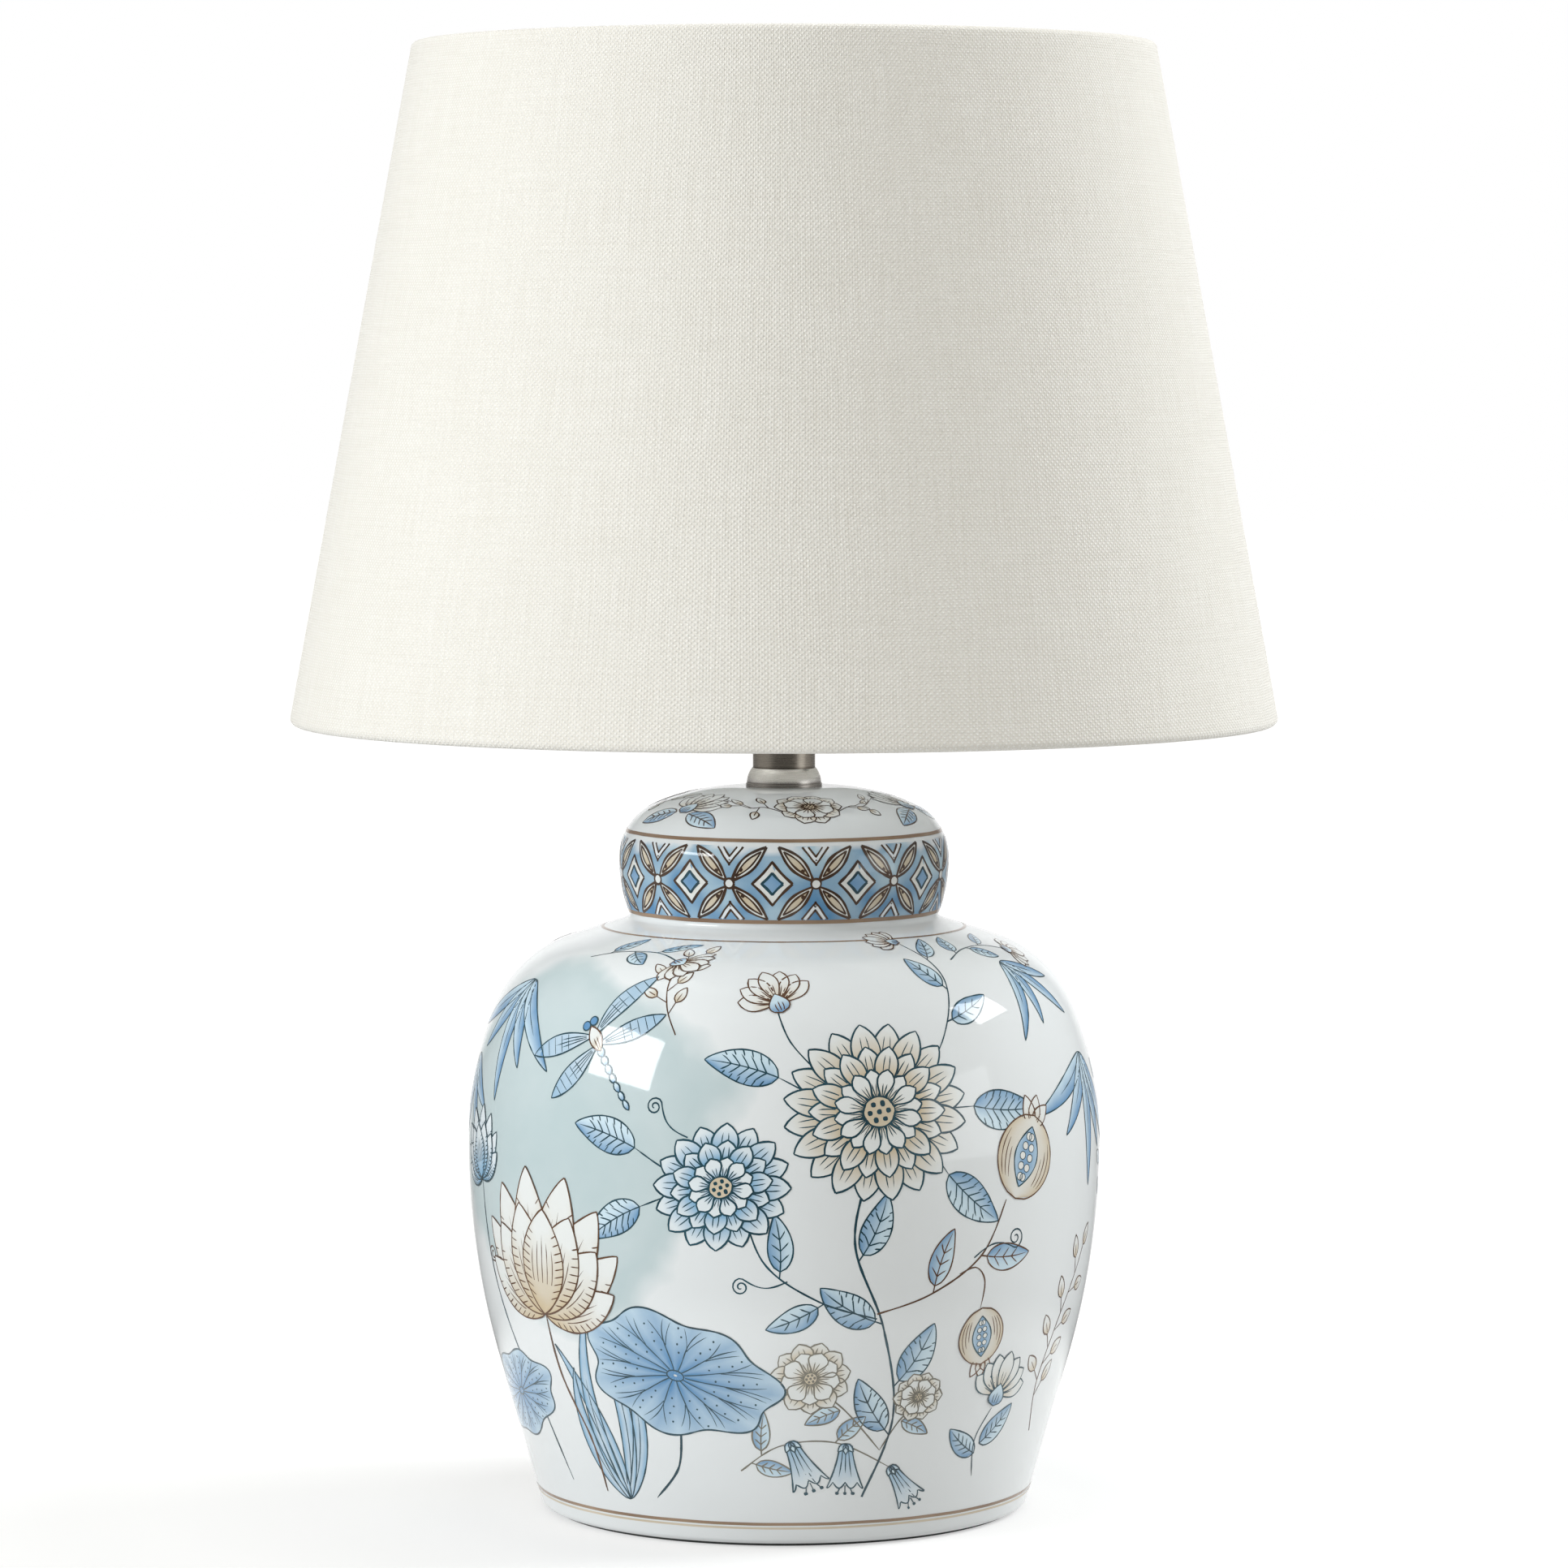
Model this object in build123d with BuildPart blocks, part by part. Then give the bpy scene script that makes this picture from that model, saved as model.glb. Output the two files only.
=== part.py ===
from build123d import *
import os
from math import asin, atan, atan2, cos, degrees, hypot, radians, sin, tan

# Porcelain ginger jar table lamp with a tapered linen shade.
# Millimetres, +Z up. The origin is the middle of the base, on the surface that the lamp stands on.
# The front faces -Y, and the cord inlet is at the back, towards +Y.

# Clearances that several pieces share
drop_in_play = 0.3
running_play = 0.05
moving_gap = 0.4
glue_line = 0.12

# Felt pad under the foot
felt_thickness = 1.2
felt_margin = 4.0

# Jar: its side is a cone at the foot, then three tangent arcs and a straight shoulder
belly_radius = 128.7
belly_height = 148.4
lower_arc = 315.7
foot_lean = 16.0
upper_arc = 144.7
upper_turn = 22.5
shoulder_arc = 48.5
shoulder_turn = 72.0
collar_radius = 62.8
collar_height = 2.4
collar_fillet = 2.2
jar_wall = 5.5
jar_neck_height = 12.0
neck_lip_round = 1.2
foot_round = 3.0
foot_ring_width = 14.0
foot_recess = 14.0
jar_floor = 6.0

# Cord inlet through the back of the jar, square to its wall
cord_inlet_height = 34.0
bush_radius = 5.2
bush_bore = 3.5
bush_flange_radius = 7.5
bush_flange = 2.0
bush_flange_round = 0.8
bush_lip_radius = 6.2
bush_lip = 1.5

# Lid: four tangent arcs from its rim to a flat land on top
lid_radius = 66.96
lid_belly_height = 21.8
lid_lower_arc = 66.0
lid_upper_arc = 25.8
lid_upper_turn = 17.4
lid_corner_arc = 22.4
lid_corner_turn = 65.7
lid_dome_arc = 87.0
lid_wall = 4.5
lid_rim_round = 0.9

# Hollow threaded tube through the whole base, with its clamps
tube_radius = 5.0
tube_bore = 3.5
tube_tail = 2.0
bottom_washer_radius = 22.0
rubber_thickness = 2.0
washer_thickness = 1.6
nut_flats = 17.0
nut_height = 5.0
nut_edge = 0.6
lid_washer_radius = 10.0
lid_nut_flats = 14.0

# Nickel neck between the lid and the lampholder
neck_radius = 12.7
neck_wall = 1.2
neck_height = 25.4
seat_radius = 15.5
seat_rim = 1.3
seat_height = 7.4
seat_step = 0.3

# Lampholder
cap_radius = 19.8
cap_wall = 2.0
cap_floor = 5.0
cap_round = 6.0
switch_room = 9.0
block_ledge = 2.2
block_thickness = 9.0
block_screw_spacing = 18.0
block_screw_radius = 1.5
block_screw_head = 2.6
block_screw_head_height = 1.6
block_screw_length = 6.0
skirt_radius = 19.2
skirt_height = 26.0
skirt_spigot = 4.0
skirt_bore = 15.3
shell_bore = 13.55
shell_wall = 0.5
shell_height = 25.0
contact_rise = 2.8
contact_width = 6.0
contact_sheet = 0.4
contact_reach = 8.0

# Turn switch, on the right of the lampholder's cap
spindle_radius = 2.0
spindle_inner_end = 9.0
spindle_collar_radius = 3.3
spindle_collar = 1.5
bush_nut_radius = 5.5
bush_nut = 3.0
switch_bush_radius = 3.4
knob_hub_radius = 4.5
knob_hub = 5.0
knob_wing_width = 15.0
knob_wing_thickness = 5.0
knob_wing = 11.0
knob_wall = 2.0
knob_round = 0.8

# Threaded rings that hold the shade
ring_height = 6.0
ring_body_radius = 23.5
ring_flange_radius = 27.0
ring_flange = 2.2
ring_grips = 20
ring_grip_radius = 1.3

# Shade frame
fitter_bore_play = 0.8
fitter_radius = 30.0
fitter_thickness = 1.6
arm_radius = 1.6
arm_count = 3
arm_start = 90.0
wire_radius = 1.75

# Linen shade on its stiff lining
shade_bottom_radius = 200.5
shade_top_radius = 149.8
shade_height = 274.5
shade_above_holder = 0.3
linen = 0.8
lining = 0.5
hem_gap_angle = 104.0

# Lamp: a 60 mm pear bulb with a 27 mm screw cap
bulb_radius = 30.0
bulb_length = 106.0
bulb_glass_wall = 0.8
bulb_cap_radius = 13.2
bulb_cap_wall = 0.4
bulb_cap_height = 22.0
bulb_cap_taper = 2.6
bulb_cap_hole = 6.5
bulb_neck_depth = 4.0
insulator_height = 3.6
insulator_top_radius = 9.6
insulator_bottom_radius = 5.4
tip_radius = 4.6
tip_height = 1.1
tip_round = 0.6


def polar(center, radius, angle):
    """Point on a circle in the plane of radius and height."""
    turn = radians(angle)
    return (center[0] + radius * cos(turn), center[1] + radius * sin(turn))


# Centres of the jar's arcs, with the belly's height above the surface
foot_z = felt_thickness
belly_z = foot_z + belly_height
lower_center = (belly_radius - lower_arc, belly_z)
upper_center = (belly_radius - upper_arc, belly_z)
shoulder_center = polar(upper_center, upper_arc - shoulder_arc, upper_turn)


def cone_radius(inset, height):
    """Radius of the cone above the foot, moved in by inset."""
    end = polar(lower_center, lower_arc - inset, -foot_lean)
    return end[0] - (end[1] - height) * tan(radians(foot_lean))


def shoulder_z(inset, radius):
    """Height of the straight shoulder at a radius, moved in by inset."""
    end = polar(shoulder_center, shoulder_arc - inset, shoulder_turn)
    return end[1] + (end[0] - radius) / tan(radians(shoulder_turn))


# Levels of the base, from the surface upwards
ledge_z = shoulder_z(0, collar_radius) + collar_height
lid_belly_z = ledge_z + lid_belly_height
lid_lower_center = (lid_radius - lid_lower_arc, lid_belly_z)
lid_upper_center = (lid_radius - lid_upper_arc, lid_belly_z)
lid_corner_center = polar(lid_upper_center, lid_upper_arc - lid_corner_arc, lid_upper_turn)
lid_dome_center = polar(lid_corner_center, lid_corner_arc - lid_dome_arc, lid_corner_turn)
lid_top_z = lid_dome_center[1] + lid_dome_arc
floor_under_z = foot_z + foot_recess
cavity_floor_z = floor_under_z + jar_floor
jar_top_z = ledge_z + jar_neck_height
nut_z = floor_under_z - rubber_thickness - washer_thickness - nut_height


def lid_rim(inset):
    """Angle and radius at which the lid's lower arc meets the jar's collar."""
    angle = -degrees(asin(lid_belly_height / (lid_lower_arc - inset)))
    return angle, polar(lid_lower_center, lid_lower_arc - inset, angle)[0]


jar_neck_radius = lid_rim(lid_wall)[1] - drop_in_play
jar_mouth_radius = jar_neck_radius - jar_wall

# Levels of the lampholder and of the rings on it
holder_z = lid_top_z + neck_height
switch_z = holder_z + cap_floor + switch_room / 2
block_z = holder_z + cap_floor + switch_room
block_top_z = block_z + block_thickness
cap_top_z = block_top_z + skirt_spigot
skirt_top_z = cap_top_z + skirt_height
lower_ring_top_z = cap_top_z + ring_height
fitter_z = lower_ring_top_z + running_play
fitter_top_z = fitter_z + fitter_thickness
upper_ring_z = fitter_top_z + running_play
cap_bore = cap_radius - cap_wall
cap_chamber = cap_bore - block_ledge
thread_play_radius = skirt_radius + running_play

# Levels of the lamp
bulb_z = block_top_z + contact_rise + running_play
insulator_z = bulb_z + tip_height
bulb_cap_z = insulator_z + insulator_height
bulb_cap_top_z = bulb_cap_z + bulb_cap_height
bulb_ball_z = bulb_z + bulb_length - bulb_radius
bulb_neck_radius = bulb_cap_radius - bulb_cap_wall - drop_in_play

# The shade's cone, and the wire rings that its hems wrap
shade_z = holder_z + shade_above_holder
shade_top_z = shade_z + shade_height
shade_slope = (shade_bottom_radius - shade_top_radius) / shade_height
shade_lean = atan(shade_slope)
hem_radius = wire_radius + glue_line + linen
bottom_wire_z = shade_z + hem_radius
top_wire_z = shade_top_z - hem_radius


def shade_radius(inset, height):
    """Radius of the shade's outer face at a height, moved in square to it by inset."""
    return shade_bottom_radius - (height - shade_z) * shade_slope - inset / cos(shade_lean)


bottom_wire_radius = shade_radius(hem_radius, bottom_wire_z)
top_wire_radius = shade_radius(hem_radius, top_wire_z)


def jar_side(inset, low_z, end_radius):
    """Half outline of the jar's side from a level up to a radius, closed later by the caller."""
    low_point = (cone_radius(inset, low_z), low_z)
    high_point = (end_radius, shoulder_z(inset, end_radius))
    Line(low_point, polar(lower_center, lower_arc - inset, -foot_lean))
    CenterArc(lower_center, lower_arc - inset, -foot_lean, foot_lean)
    CenterArc(upper_center, upper_arc - inset, 0, upper_turn)
    CenterArc(shoulder_center, shoulder_arc - inset, upper_turn, shoulder_turn - upper_turn)
    Line(polar(shoulder_center, shoulder_arc - inset, shoulder_turn), high_point)
    return low_point, high_point


def lid_outline(inset):
    """Closed half outline of the lid, moved in by inset, down to its rim."""
    rim_angle, rim_radius = lid_rim(inset)
    CenterArc(lid_lower_center, lid_lower_arc - inset, rim_angle, -rim_angle)
    CenterArc(lid_upper_center, lid_upper_arc - inset, 0, lid_upper_turn)
    CenterArc(lid_corner_center, lid_corner_arc - inset, lid_upper_turn, lid_corner_turn - lid_upper_turn)
    CenterArc(lid_dome_center, lid_dome_arc - inset, lid_corner_turn, 90 - lid_corner_turn)
    top_z = lid_top_z - inset
    Polyline((lid_dome_center[0], top_z), (0, top_z), (0, ledge_z), (rim_radius, ledge_z))


def circles_at(builder, height):
    """Round edges of a part at a height, the smallest first."""
    tolerance = 0.01
    edges = builder.edges().filter_by(GeomType.CIRCLE)
    return edges.filter_by_position(Axis.Z, height - tolerance, height + tolerance).sort_by(SortBy.RADIUS)


def save(builder, name):
    """Label a finished piece and write it to its own file."""
    builder.part.label = name
    export_step(builder.part, f"parts/{name}.step")
    print(name, "volume", round(builder.part.volume))


def tube(low_z, high_z, outer, inner):
    """Straight round tube about the lamp's axis."""
    with BuildSketch(Plane.XY.offset(low_z)) as section:
        Circle(outer)
        Circle(inner, mode=Mode.SUBTRACT)
    extrude(section.sketch, amount=high_z - low_z)


os.makedirs("parts", exist_ok=True)

# Felt pad
with BuildPart() as base_felt:
    with BuildSketch():
        Circle(cone_radius(0, foot_z) - felt_margin)
    extrude(amount=felt_thickness)
save(base_felt, "base_felt")

# Jar: outer form, hollow, recess in the foot, hole for the threaded tube and cord hole
cord_z = foot_z + cord_inlet_height
cord_plane = Plane(
    origin=(0, cone_radius(0, cord_z), cord_z),
    x_dir=(1, 0, 0),
    z_dir=(0, cos(radians(foot_lean)), -sin(radians(foot_lean))),
)
with BuildPart() as jar_body:
    with BuildSketch(Plane.XZ):
        with BuildLine():
            foot_edge, shoulder_end = jar_side(0, foot_z, collar_radius)
            Polyline(
                shoulder_end,
                (collar_radius, ledge_z),
                (jar_neck_radius, ledge_z),
                (jar_neck_radius, jar_top_z),
                (0, jar_top_z),
                (0, foot_z),
                foot_edge,
            )
        make_face()
    revolve(axis=Axis.Z)
    with BuildSketch(Plane.XZ):
        with BuildLine():
            floor_edge, throat = jar_side(jar_wall, cavity_floor_z, jar_mouth_radius)
            Polyline(throat, (jar_mouth_radius, jar_top_z), (0, jar_top_z), (0, cavity_floor_z), floor_edge)
        make_face()
    revolve(axis=Axis.Z, mode=Mode.SUBTRACT)
    with BuildSketch(Plane.XY.offset(foot_z)):
        Circle(cone_radius(0, foot_z) - foot_ring_width)
    extrude(amount=foot_recess, mode=Mode.SUBTRACT)
    with BuildSketch(Plane.XY.offset(floor_under_z)):
        Circle(tube_radius + drop_in_play)
    extrude(amount=jar_floor, mode=Mode.SUBTRACT)
    with BuildSketch(cord_plane):
        Circle(bush_radius + drop_in_play)
    extrude(amount=2 * jar_wall, both=True, mode=Mode.SUBTRACT)
    fillet(circles_at(jar_body, foot_z)[-1], foot_round)
    fillet(circles_at(jar_body, shoulder_end[1])[-1], collar_fillet)
    fillet(circles_at(jar_body, jar_top_z), neck_lip_round)
save(jar_body, "jar_body")

# Bush in the cord hole: flange outside, body through the wall, lip inside
lip_depth = jar_wall + drop_in_play
with BuildPart() as cord_bush:
    with BuildSketch(cord_plane):
        Circle(bush_flange_radius)
    extrude(amount=bush_flange)
    fillet(cord_bush.edges().group_by(Axis(cord_plane.origin, cord_plane.z_dir))[-1], bush_flange_round)
    with BuildSketch(cord_plane):
        Circle(bush_radius)
    extrude(amount=-lip_depth)
    with BuildSketch(cord_plane.offset(-lip_depth)):
        Circle(bush_lip_radius)
    extrude(amount=-bush_lip)
    with BuildSketch(cord_plane.offset(bush_flange)):
        Circle(bush_bore)
    extrude(amount=-(bush_flange + lip_depth + bush_lip), mode=Mode.SUBTRACT)
save(cord_bush, "cord_bush")

# Lid
with BuildPart() as jar_lid:
    with BuildSketch(Plane.XZ):
        with BuildLine():
            lid_outline(0)
        make_face()
    revolve(axis=Axis.Z)
    with BuildSketch(Plane.XZ):
        with BuildLine():
            lid_outline(lid_wall)
        make_face()
    revolve(axis=Axis.Z, mode=Mode.SUBTRACT)
    with BuildSketch(Plane.XY.offset(lid_top_z)):
        Circle(tube_radius + drop_in_play)
    extrude(amount=-lid_wall, mode=Mode.SUBTRACT)
    fillet(circles_at(jar_lid, ledge_z)[-1], lid_rim_round)
save(jar_lid, "jar_lid")

# Threaded tube that ties the base together, from below its nut into the lampholder's cap
with BuildPart() as threaded_tube:
    tube(nut_z - tube_tail, holder_z + cap_floor, tube_radius, tube_bore)
save(threaded_tube, "threaded_tube")

washer_bore = tube_radius + drop_in_play
with BuildPart() as bottom_rubber_washer:
    tube(floor_under_z - rubber_thickness, floor_under_z, bottom_washer_radius, washer_bore)
save(bottom_rubber_washer, "bottom_rubber_washer")

bottom_washer_z = nut_z + nut_height
with BuildPart() as bottom_washer:
    tube(bottom_washer_z, bottom_washer_z + washer_thickness, bottom_washer_radius, washer_bore)
save(bottom_washer, "bottom_washer")

lid_nut_z = lid_top_z + washer_thickness
with BuildPart() as lid_washer:
    tube(lid_top_z, lid_nut_z, lid_washer_radius, washer_bore)
save(lid_washer, "lid_washer")

# Hexagon nuts, one below the jar's floor and one on the lid
with BuildPart() as bottom_nut:
    with BuildSketch(Plane.XY.offset(nut_z)):
        RegularPolygon(radius=nut_flats / 2, side_count=6, major_radius=False)
        Circle(tube_radius + running_play, mode=Mode.SUBTRACT)
    extrude(amount=nut_height)
    chamfer(bottom_nut.faces().sort_by(Axis.Z)[0].outer_wire().edges(), nut_edge)
save(bottom_nut, "bottom_nut")

with BuildPart() as lid_nut:
    with BuildSketch(Plane.XY.offset(lid_nut_z)):
        RegularPolygon(radius=lid_nut_flats / 2, side_count=6, major_radius=False)
        Circle(tube_radius + running_play, mode=Mode.SUBTRACT)
    extrude(amount=nut_height)
    chamfer(lid_nut.faces().sort_by(Axis.Z)[-1].outer_wire().edges(), nut_edge)
save(lid_nut, "lid_nut")

# Nickel neck: the tube stands on the lid inside its flared seat
with BuildPart() as neck_tube:
    tube(lid_top_z, holder_z, neck_radius, neck_radius - neck_wall)
save(neck_tube, "neck_tube")

seat_bore = neck_radius + running_play
seat_shoulder = (seat_radius - seat_step, lid_top_z + seat_rim)
seat_top = (seat_bore + seat_step, lid_top_z + seat_height)
with BuildPart() as neck_seat:
    with BuildSketch(Plane.XZ):
        with BuildLine():
            Polyline(
                (seat_bore, lid_top_z),
                (seat_radius, lid_top_z),
                (seat_radius, seat_shoulder[1]),
                seat_shoulder,
            )
            TangentArc(seat_shoulder, seat_top, tangent=(0, 1))
            Polyline(seat_top, (seat_bore, seat_top[1]), (seat_bore, lid_top_z))
        make_face()
    revolve(axis=Axis.Z)
save(neck_seat, "neck_seat")

# Lampholder: cap with a chamber for the switch and a ledge for the contact block
switch_plane = Plane(origin=(0, 0, switch_z), x_dir=(0, 1, 0), z_dir=(1, 0, 0))
with BuildPart() as holder_cap:
    with BuildSketch(Plane.XY.offset(holder_z)):
        Circle(cap_radius)
    extrude(amount=cap_top_z - holder_z)
    fillet(circles_at(holder_cap, holder_z)[-1], cap_round)
    with BuildSketch(Plane.XY.offset(holder_z + cap_floor)):
        Circle(cap_chamber)
    extrude(amount=switch_room, mode=Mode.SUBTRACT)
    with BuildSketch(Plane.XY.offset(block_z)):
        Circle(cap_bore)
    extrude(amount=block_thickness + skirt_spigot, mode=Mode.SUBTRACT)
    with BuildSketch(Plane.XY.offset(holder_z)):
        Circle(tube_radius + running_play)
    extrude(amount=cap_floor, mode=Mode.SUBTRACT)
    with BuildSketch(switch_plane):
        Circle(switch_bush_radius + running_play)
    extrude(amount=cap_radius, mode=Mode.SUBTRACT)
save(holder_cap, "holder_cap")

block_screws = [(0, -block_screw_spacing / 2), (0, block_screw_spacing / 2)]
with BuildPart() as contact_block:
    with BuildSketch(Plane.XY.offset(block_z)):
        Circle(cap_bore - drop_in_play)
        with Locations(*block_screws):
            Circle(block_screw_radius + running_play, mode=Mode.SUBTRACT)
    extrude(amount=block_thickness)
save(contact_block, "contact_block")

with BuildPart() as terminal_screws:
    with BuildSketch(Plane.XY.offset(block_z)):
        with Locations(*block_screws):
            Circle(block_screw_radius)
    extrude(amount=block_screw_length)
    with BuildSketch(Plane.XY.offset(block_z)):
        with Locations(*block_screws):
            Circle(block_screw_head)
    extrude(amount=-block_screw_head_height)
save(terminal_screws, "terminal_screws")

with BuildPart() as holder_skirt:
    tube(cap_top_z, skirt_top_z, skirt_radius, skirt_bore)
    tube(block_top_z, cap_top_z, cap_bore - drop_in_play, skirt_bore)
save(holder_skirt, "holder_skirt")

with BuildPart() as screw_shell:
    tube(block_top_z, block_top_z + shell_height, shell_bore + shell_wall, shell_bore)
save(screw_shell, "screw_shell")

# Springy middle contact: a foot on the block and a tongue that rises to the lamp's tip
with BuildPart() as centre_contact:
    with BuildSketch(Plane.XZ.offset(-contact_width / 2)):
        with BuildLine():
            rise_line = Polyline(
                (-contact_reach, block_top_z),
                (-contact_reach / 2, block_top_z),
                (0, block_top_z + contact_rise - contact_sheet),
                (contact_reach / 4, block_top_z + contact_rise - contact_sheet),
            )
            Polyline(
                rise_line @ 1,
                (contact_reach / 4, block_top_z + contact_rise),
                (-contact_sheet / 2, block_top_z + contact_rise),
                (-contact_reach / 2 - contact_sheet / 2, block_top_z + contact_sheet),
                (-contact_reach, block_top_z + contact_sheet),
                rise_line @ 0,
            )
        make_face()
    extrude(amount=contact_width)
save(centre_contact, "centre_contact")

# Turn switch: a bush in the cap's wall carries the spindle, and the knob is pushed onto its end
bush_inner_x = cap_chamber - drop_in_play
bush_outer_x = cap_radius + bush_nut
knob_x = bush_outer_x + moving_gap
with BuildPart() as switch_bush:
    with BuildSketch(switch_plane.offset(bush_inner_x)):
        Circle(switch_bush_radius)
    extrude(amount=bush_outer_x - bush_inner_x)
    with BuildSketch(switch_plane.offset(cap_radius)):
        RegularPolygon(radius=bush_nut_radius, side_count=6)
    extrude(amount=bush_nut)
    with BuildSketch(switch_plane.offset(bush_inner_x)):
        Circle(spindle_radius + running_play)
    extrude(amount=bush_outer_x - bush_inner_x, mode=Mode.SUBTRACT)
save(switch_bush, "switch_bush")

spindle_end_x = knob_x + knob_hub + knob_wing - knob_wall
collar_x = bush_inner_x - moving_gap
with BuildPart() as switch_spindle:
    with BuildSketch(switch_plane.offset(spindle_inner_end)):
        Circle(spindle_radius)
    extrude(amount=spindle_end_x - spindle_inner_end)
    with BuildSketch(switch_plane.offset(collar_x)):
        Circle(spindle_collar_radius)
    extrude(amount=-spindle_collar)
save(switch_spindle, "switch_spindle")

with BuildPart() as switch_knob:
    with BuildSketch(switch_plane.offset(knob_x)):
        Circle(knob_hub_radius)
    extrude(amount=knob_hub)
    with BuildSketch(switch_plane.offset(knob_x + knob_hub)):
        SlotOverall(knob_wing_width, knob_wing_thickness)
    extrude(amount=knob_wing)
    fillet(switch_knob.faces().sort_by(Axis.X)[-1].edges(), knob_round)
    with BuildSketch(switch_plane.offset(knob_x)):
        Circle(spindle_radius + running_play)
    extrude(amount=spindle_end_x - knob_x, mode=Mode.SUBTRACT)
save(switch_knob, "switch_knob")


def shade_ring(flange_z, body_z):
    """Threaded ring with a scalloped flange that meets the shade's fitter at flange_z."""
    up = 1 if body_z > flange_z else -1
    with BuildPart() as ring:
        with BuildSketch(Plane.XY.offset(flange_z)):
            Circle(ring_flange_radius)
            with PolarLocations(ring_flange_radius, ring_grips):
                Circle(ring_grip_radius, mode=Mode.SUBTRACT)
        extrude(amount=up * ring_flange)
        with BuildSketch(Plane.XY.offset(flange_z)):
            Circle(ring_body_radius)
        extrude(amount=body_z - flange_z)
        with BuildSketch(Plane.XY.offset(flange_z)):
            Circle(thread_play_radius)
        extrude(amount=body_z - flange_z, mode=Mode.SUBTRACT)
    return ring


lower_shade_ring = shade_ring(lower_ring_top_z, cap_top_z)
save(lower_shade_ring, "lower_shade_ring")
upper_shade_ring = shade_ring(upper_ring_z, upper_ring_z + ring_height)
save(upper_shade_ring, "upper_shade_ring")

# Shade frame: fitter ring between the threaded rings, arms, and a wire ring at each end
with BuildPart() as fitter_ring:
    tube(fitter_z, fitter_top_z, fitter_radius, skirt_radius + fitter_bore_play)
save(fitter_ring, "fitter_ring")


def wire_section(radius, height, section):
    """Round wire section, to be revolved about the lamp's axis."""
    with BuildSketch(Plane.XZ, mode=Mode.PRIVATE) as wire:
        with Locations((radius, height)):
            Circle(section)
    return wire.sketch


with BuildPart() as shade_bottom_ring:
    revolve(wire_section(bottom_wire_radius, bottom_wire_z, wire_radius), axis=Axis.Z)
save(shade_bottom_ring, "shade_bottom_ring")

with BuildPart() as shade_top_ring:
    revolve(wire_section(top_wire_radius, top_wire_z, wire_radius), axis=Axis.Z)
save(shade_top_ring, "shade_top_ring")

# One arm from the fitter ring out to the bottom wire, cut to saddle on both, then repeated
fitter_middle_z = fitter_z + fitter_thickness / 2
arm_run = bottom_wire_radius - fitter_radius
arm_drop = fitter_middle_z - bottom_wire_z
arm_plane = Plane(
    origin=(fitter_radius - arm_radius, 0, fitter_middle_z + arm_radius * arm_drop / arm_run),
    z_dir=(arm_run, 0, -arm_drop),
)
arm_length = hypot(arm_run, arm_drop) * (arm_run + arm_radius) / arm_run


def arm_rod(radius):
    """Round rod along an arm, from inside the fitter ring to the middle of the wire."""
    with BuildPart() as rod:
        with BuildSketch(arm_plane):
            Circle(radius)
        extrude(amount=arm_length)
    return rod.part


with BuildPart() as fitter_arm:
    add(arm_rod(arm_radius))
    with BuildSketch(Plane.XY.offset(fitter_middle_z)):
        Circle(fitter_radius)
    extrude(amount=2 * arm_radius, both=True, mode=Mode.SUBTRACT)
    revolve(wire_section(bottom_wire_radius, bottom_wire_z, wire_radius), axis=Axis.Z, mode=Mode.SUBTRACT)
with BuildPart() as fitter_arms:
    with PolarLocations(0, arm_count, start_angle=arm_start):
        add(fitter_arm.part)
save(fitter_arms, "fitter_arms")


def shade_shell(outer_inset, inner_inset):
    """Conical sheet of the shade between two insets, cut to sit between the two hems."""
    with BuildPart() as sheet:
        with BuildSketch(Plane.XZ):
            with BuildLine():
                Polyline(
                    (shade_radius(outer_inset, bottom_wire_z), bottom_wire_z),
                    (shade_radius(outer_inset, top_wire_z), top_wire_z),
                    (shade_radius(inner_inset, top_wire_z), top_wire_z),
                    (shade_radius(inner_inset, bottom_wire_z), bottom_wire_z),
                    close=True,
                )
            make_face()
        revolve(axis=Axis.Z)
        for wire in ((bottom_wire_radius, bottom_wire_z), (top_wire_radius, top_wire_z)):
            revolve(wire_section(*wire, hem_radius + glue_line), axis=Axis.Z, mode=Mode.SUBTRACT)
    return sheet


shade_cover = shade_shell(0, linen)
save(shade_cover, "shade_cover")
shade_liner = shade_shell(linen + glue_line, linen + glue_line + lining)
save(shade_liner, "shade_liner")


def hem(radius, height, gap_angle):
    """Linen turned over a wire ring, with its raw edges apart towards gap_angle."""
    first = gap_angle + hem_gap_angle / 2
    sweep_angle = 360 - hem_gap_angle
    inner = wire_radius + glue_line
    with BuildPart() as edge:
        with BuildSketch(Plane.XZ):
            with BuildLine():
                CenterArc((radius, height), hem_radius, first, sweep_angle)
                CenterArc((radius, height), inner, first, sweep_angle)
                for angle in (first, first + sweep_angle):
                    Line(polar((radius, height), inner, angle), polar((radius, height), hem_radius, angle))
            make_face()
        revolve(axis=Axis.Z)
    return edge


arm_angle = 180 - degrees(atan2(arm_drop, arm_run))
with BuildPart() as shade_bottom_hem:
    add(hem(bottom_wire_radius, bottom_wire_z, arm_angle).part)
    with PolarLocations(0, arm_count, start_angle=arm_start):
        add(arm_rod(arm_radius + glue_line), mode=Mode.SUBTRACT)
save(shade_bottom_hem, "shade_bottom_hem")
shade_top_hem = hem(top_wire_radius, top_wire_z, 360 - arm_angle)
save(shade_top_hem, "shade_top_hem")

# Lamp: the glass is a ball that a straight flare joins to its neck in the cap
flare_height = bulb_ball_z - bulb_cap_top_z
flare_reach = hypot(bulb_neck_radius, flare_height)
flare_lean = asin(bulb_radius / flare_reach) - atan2(bulb_neck_radius, flare_height)


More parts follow.
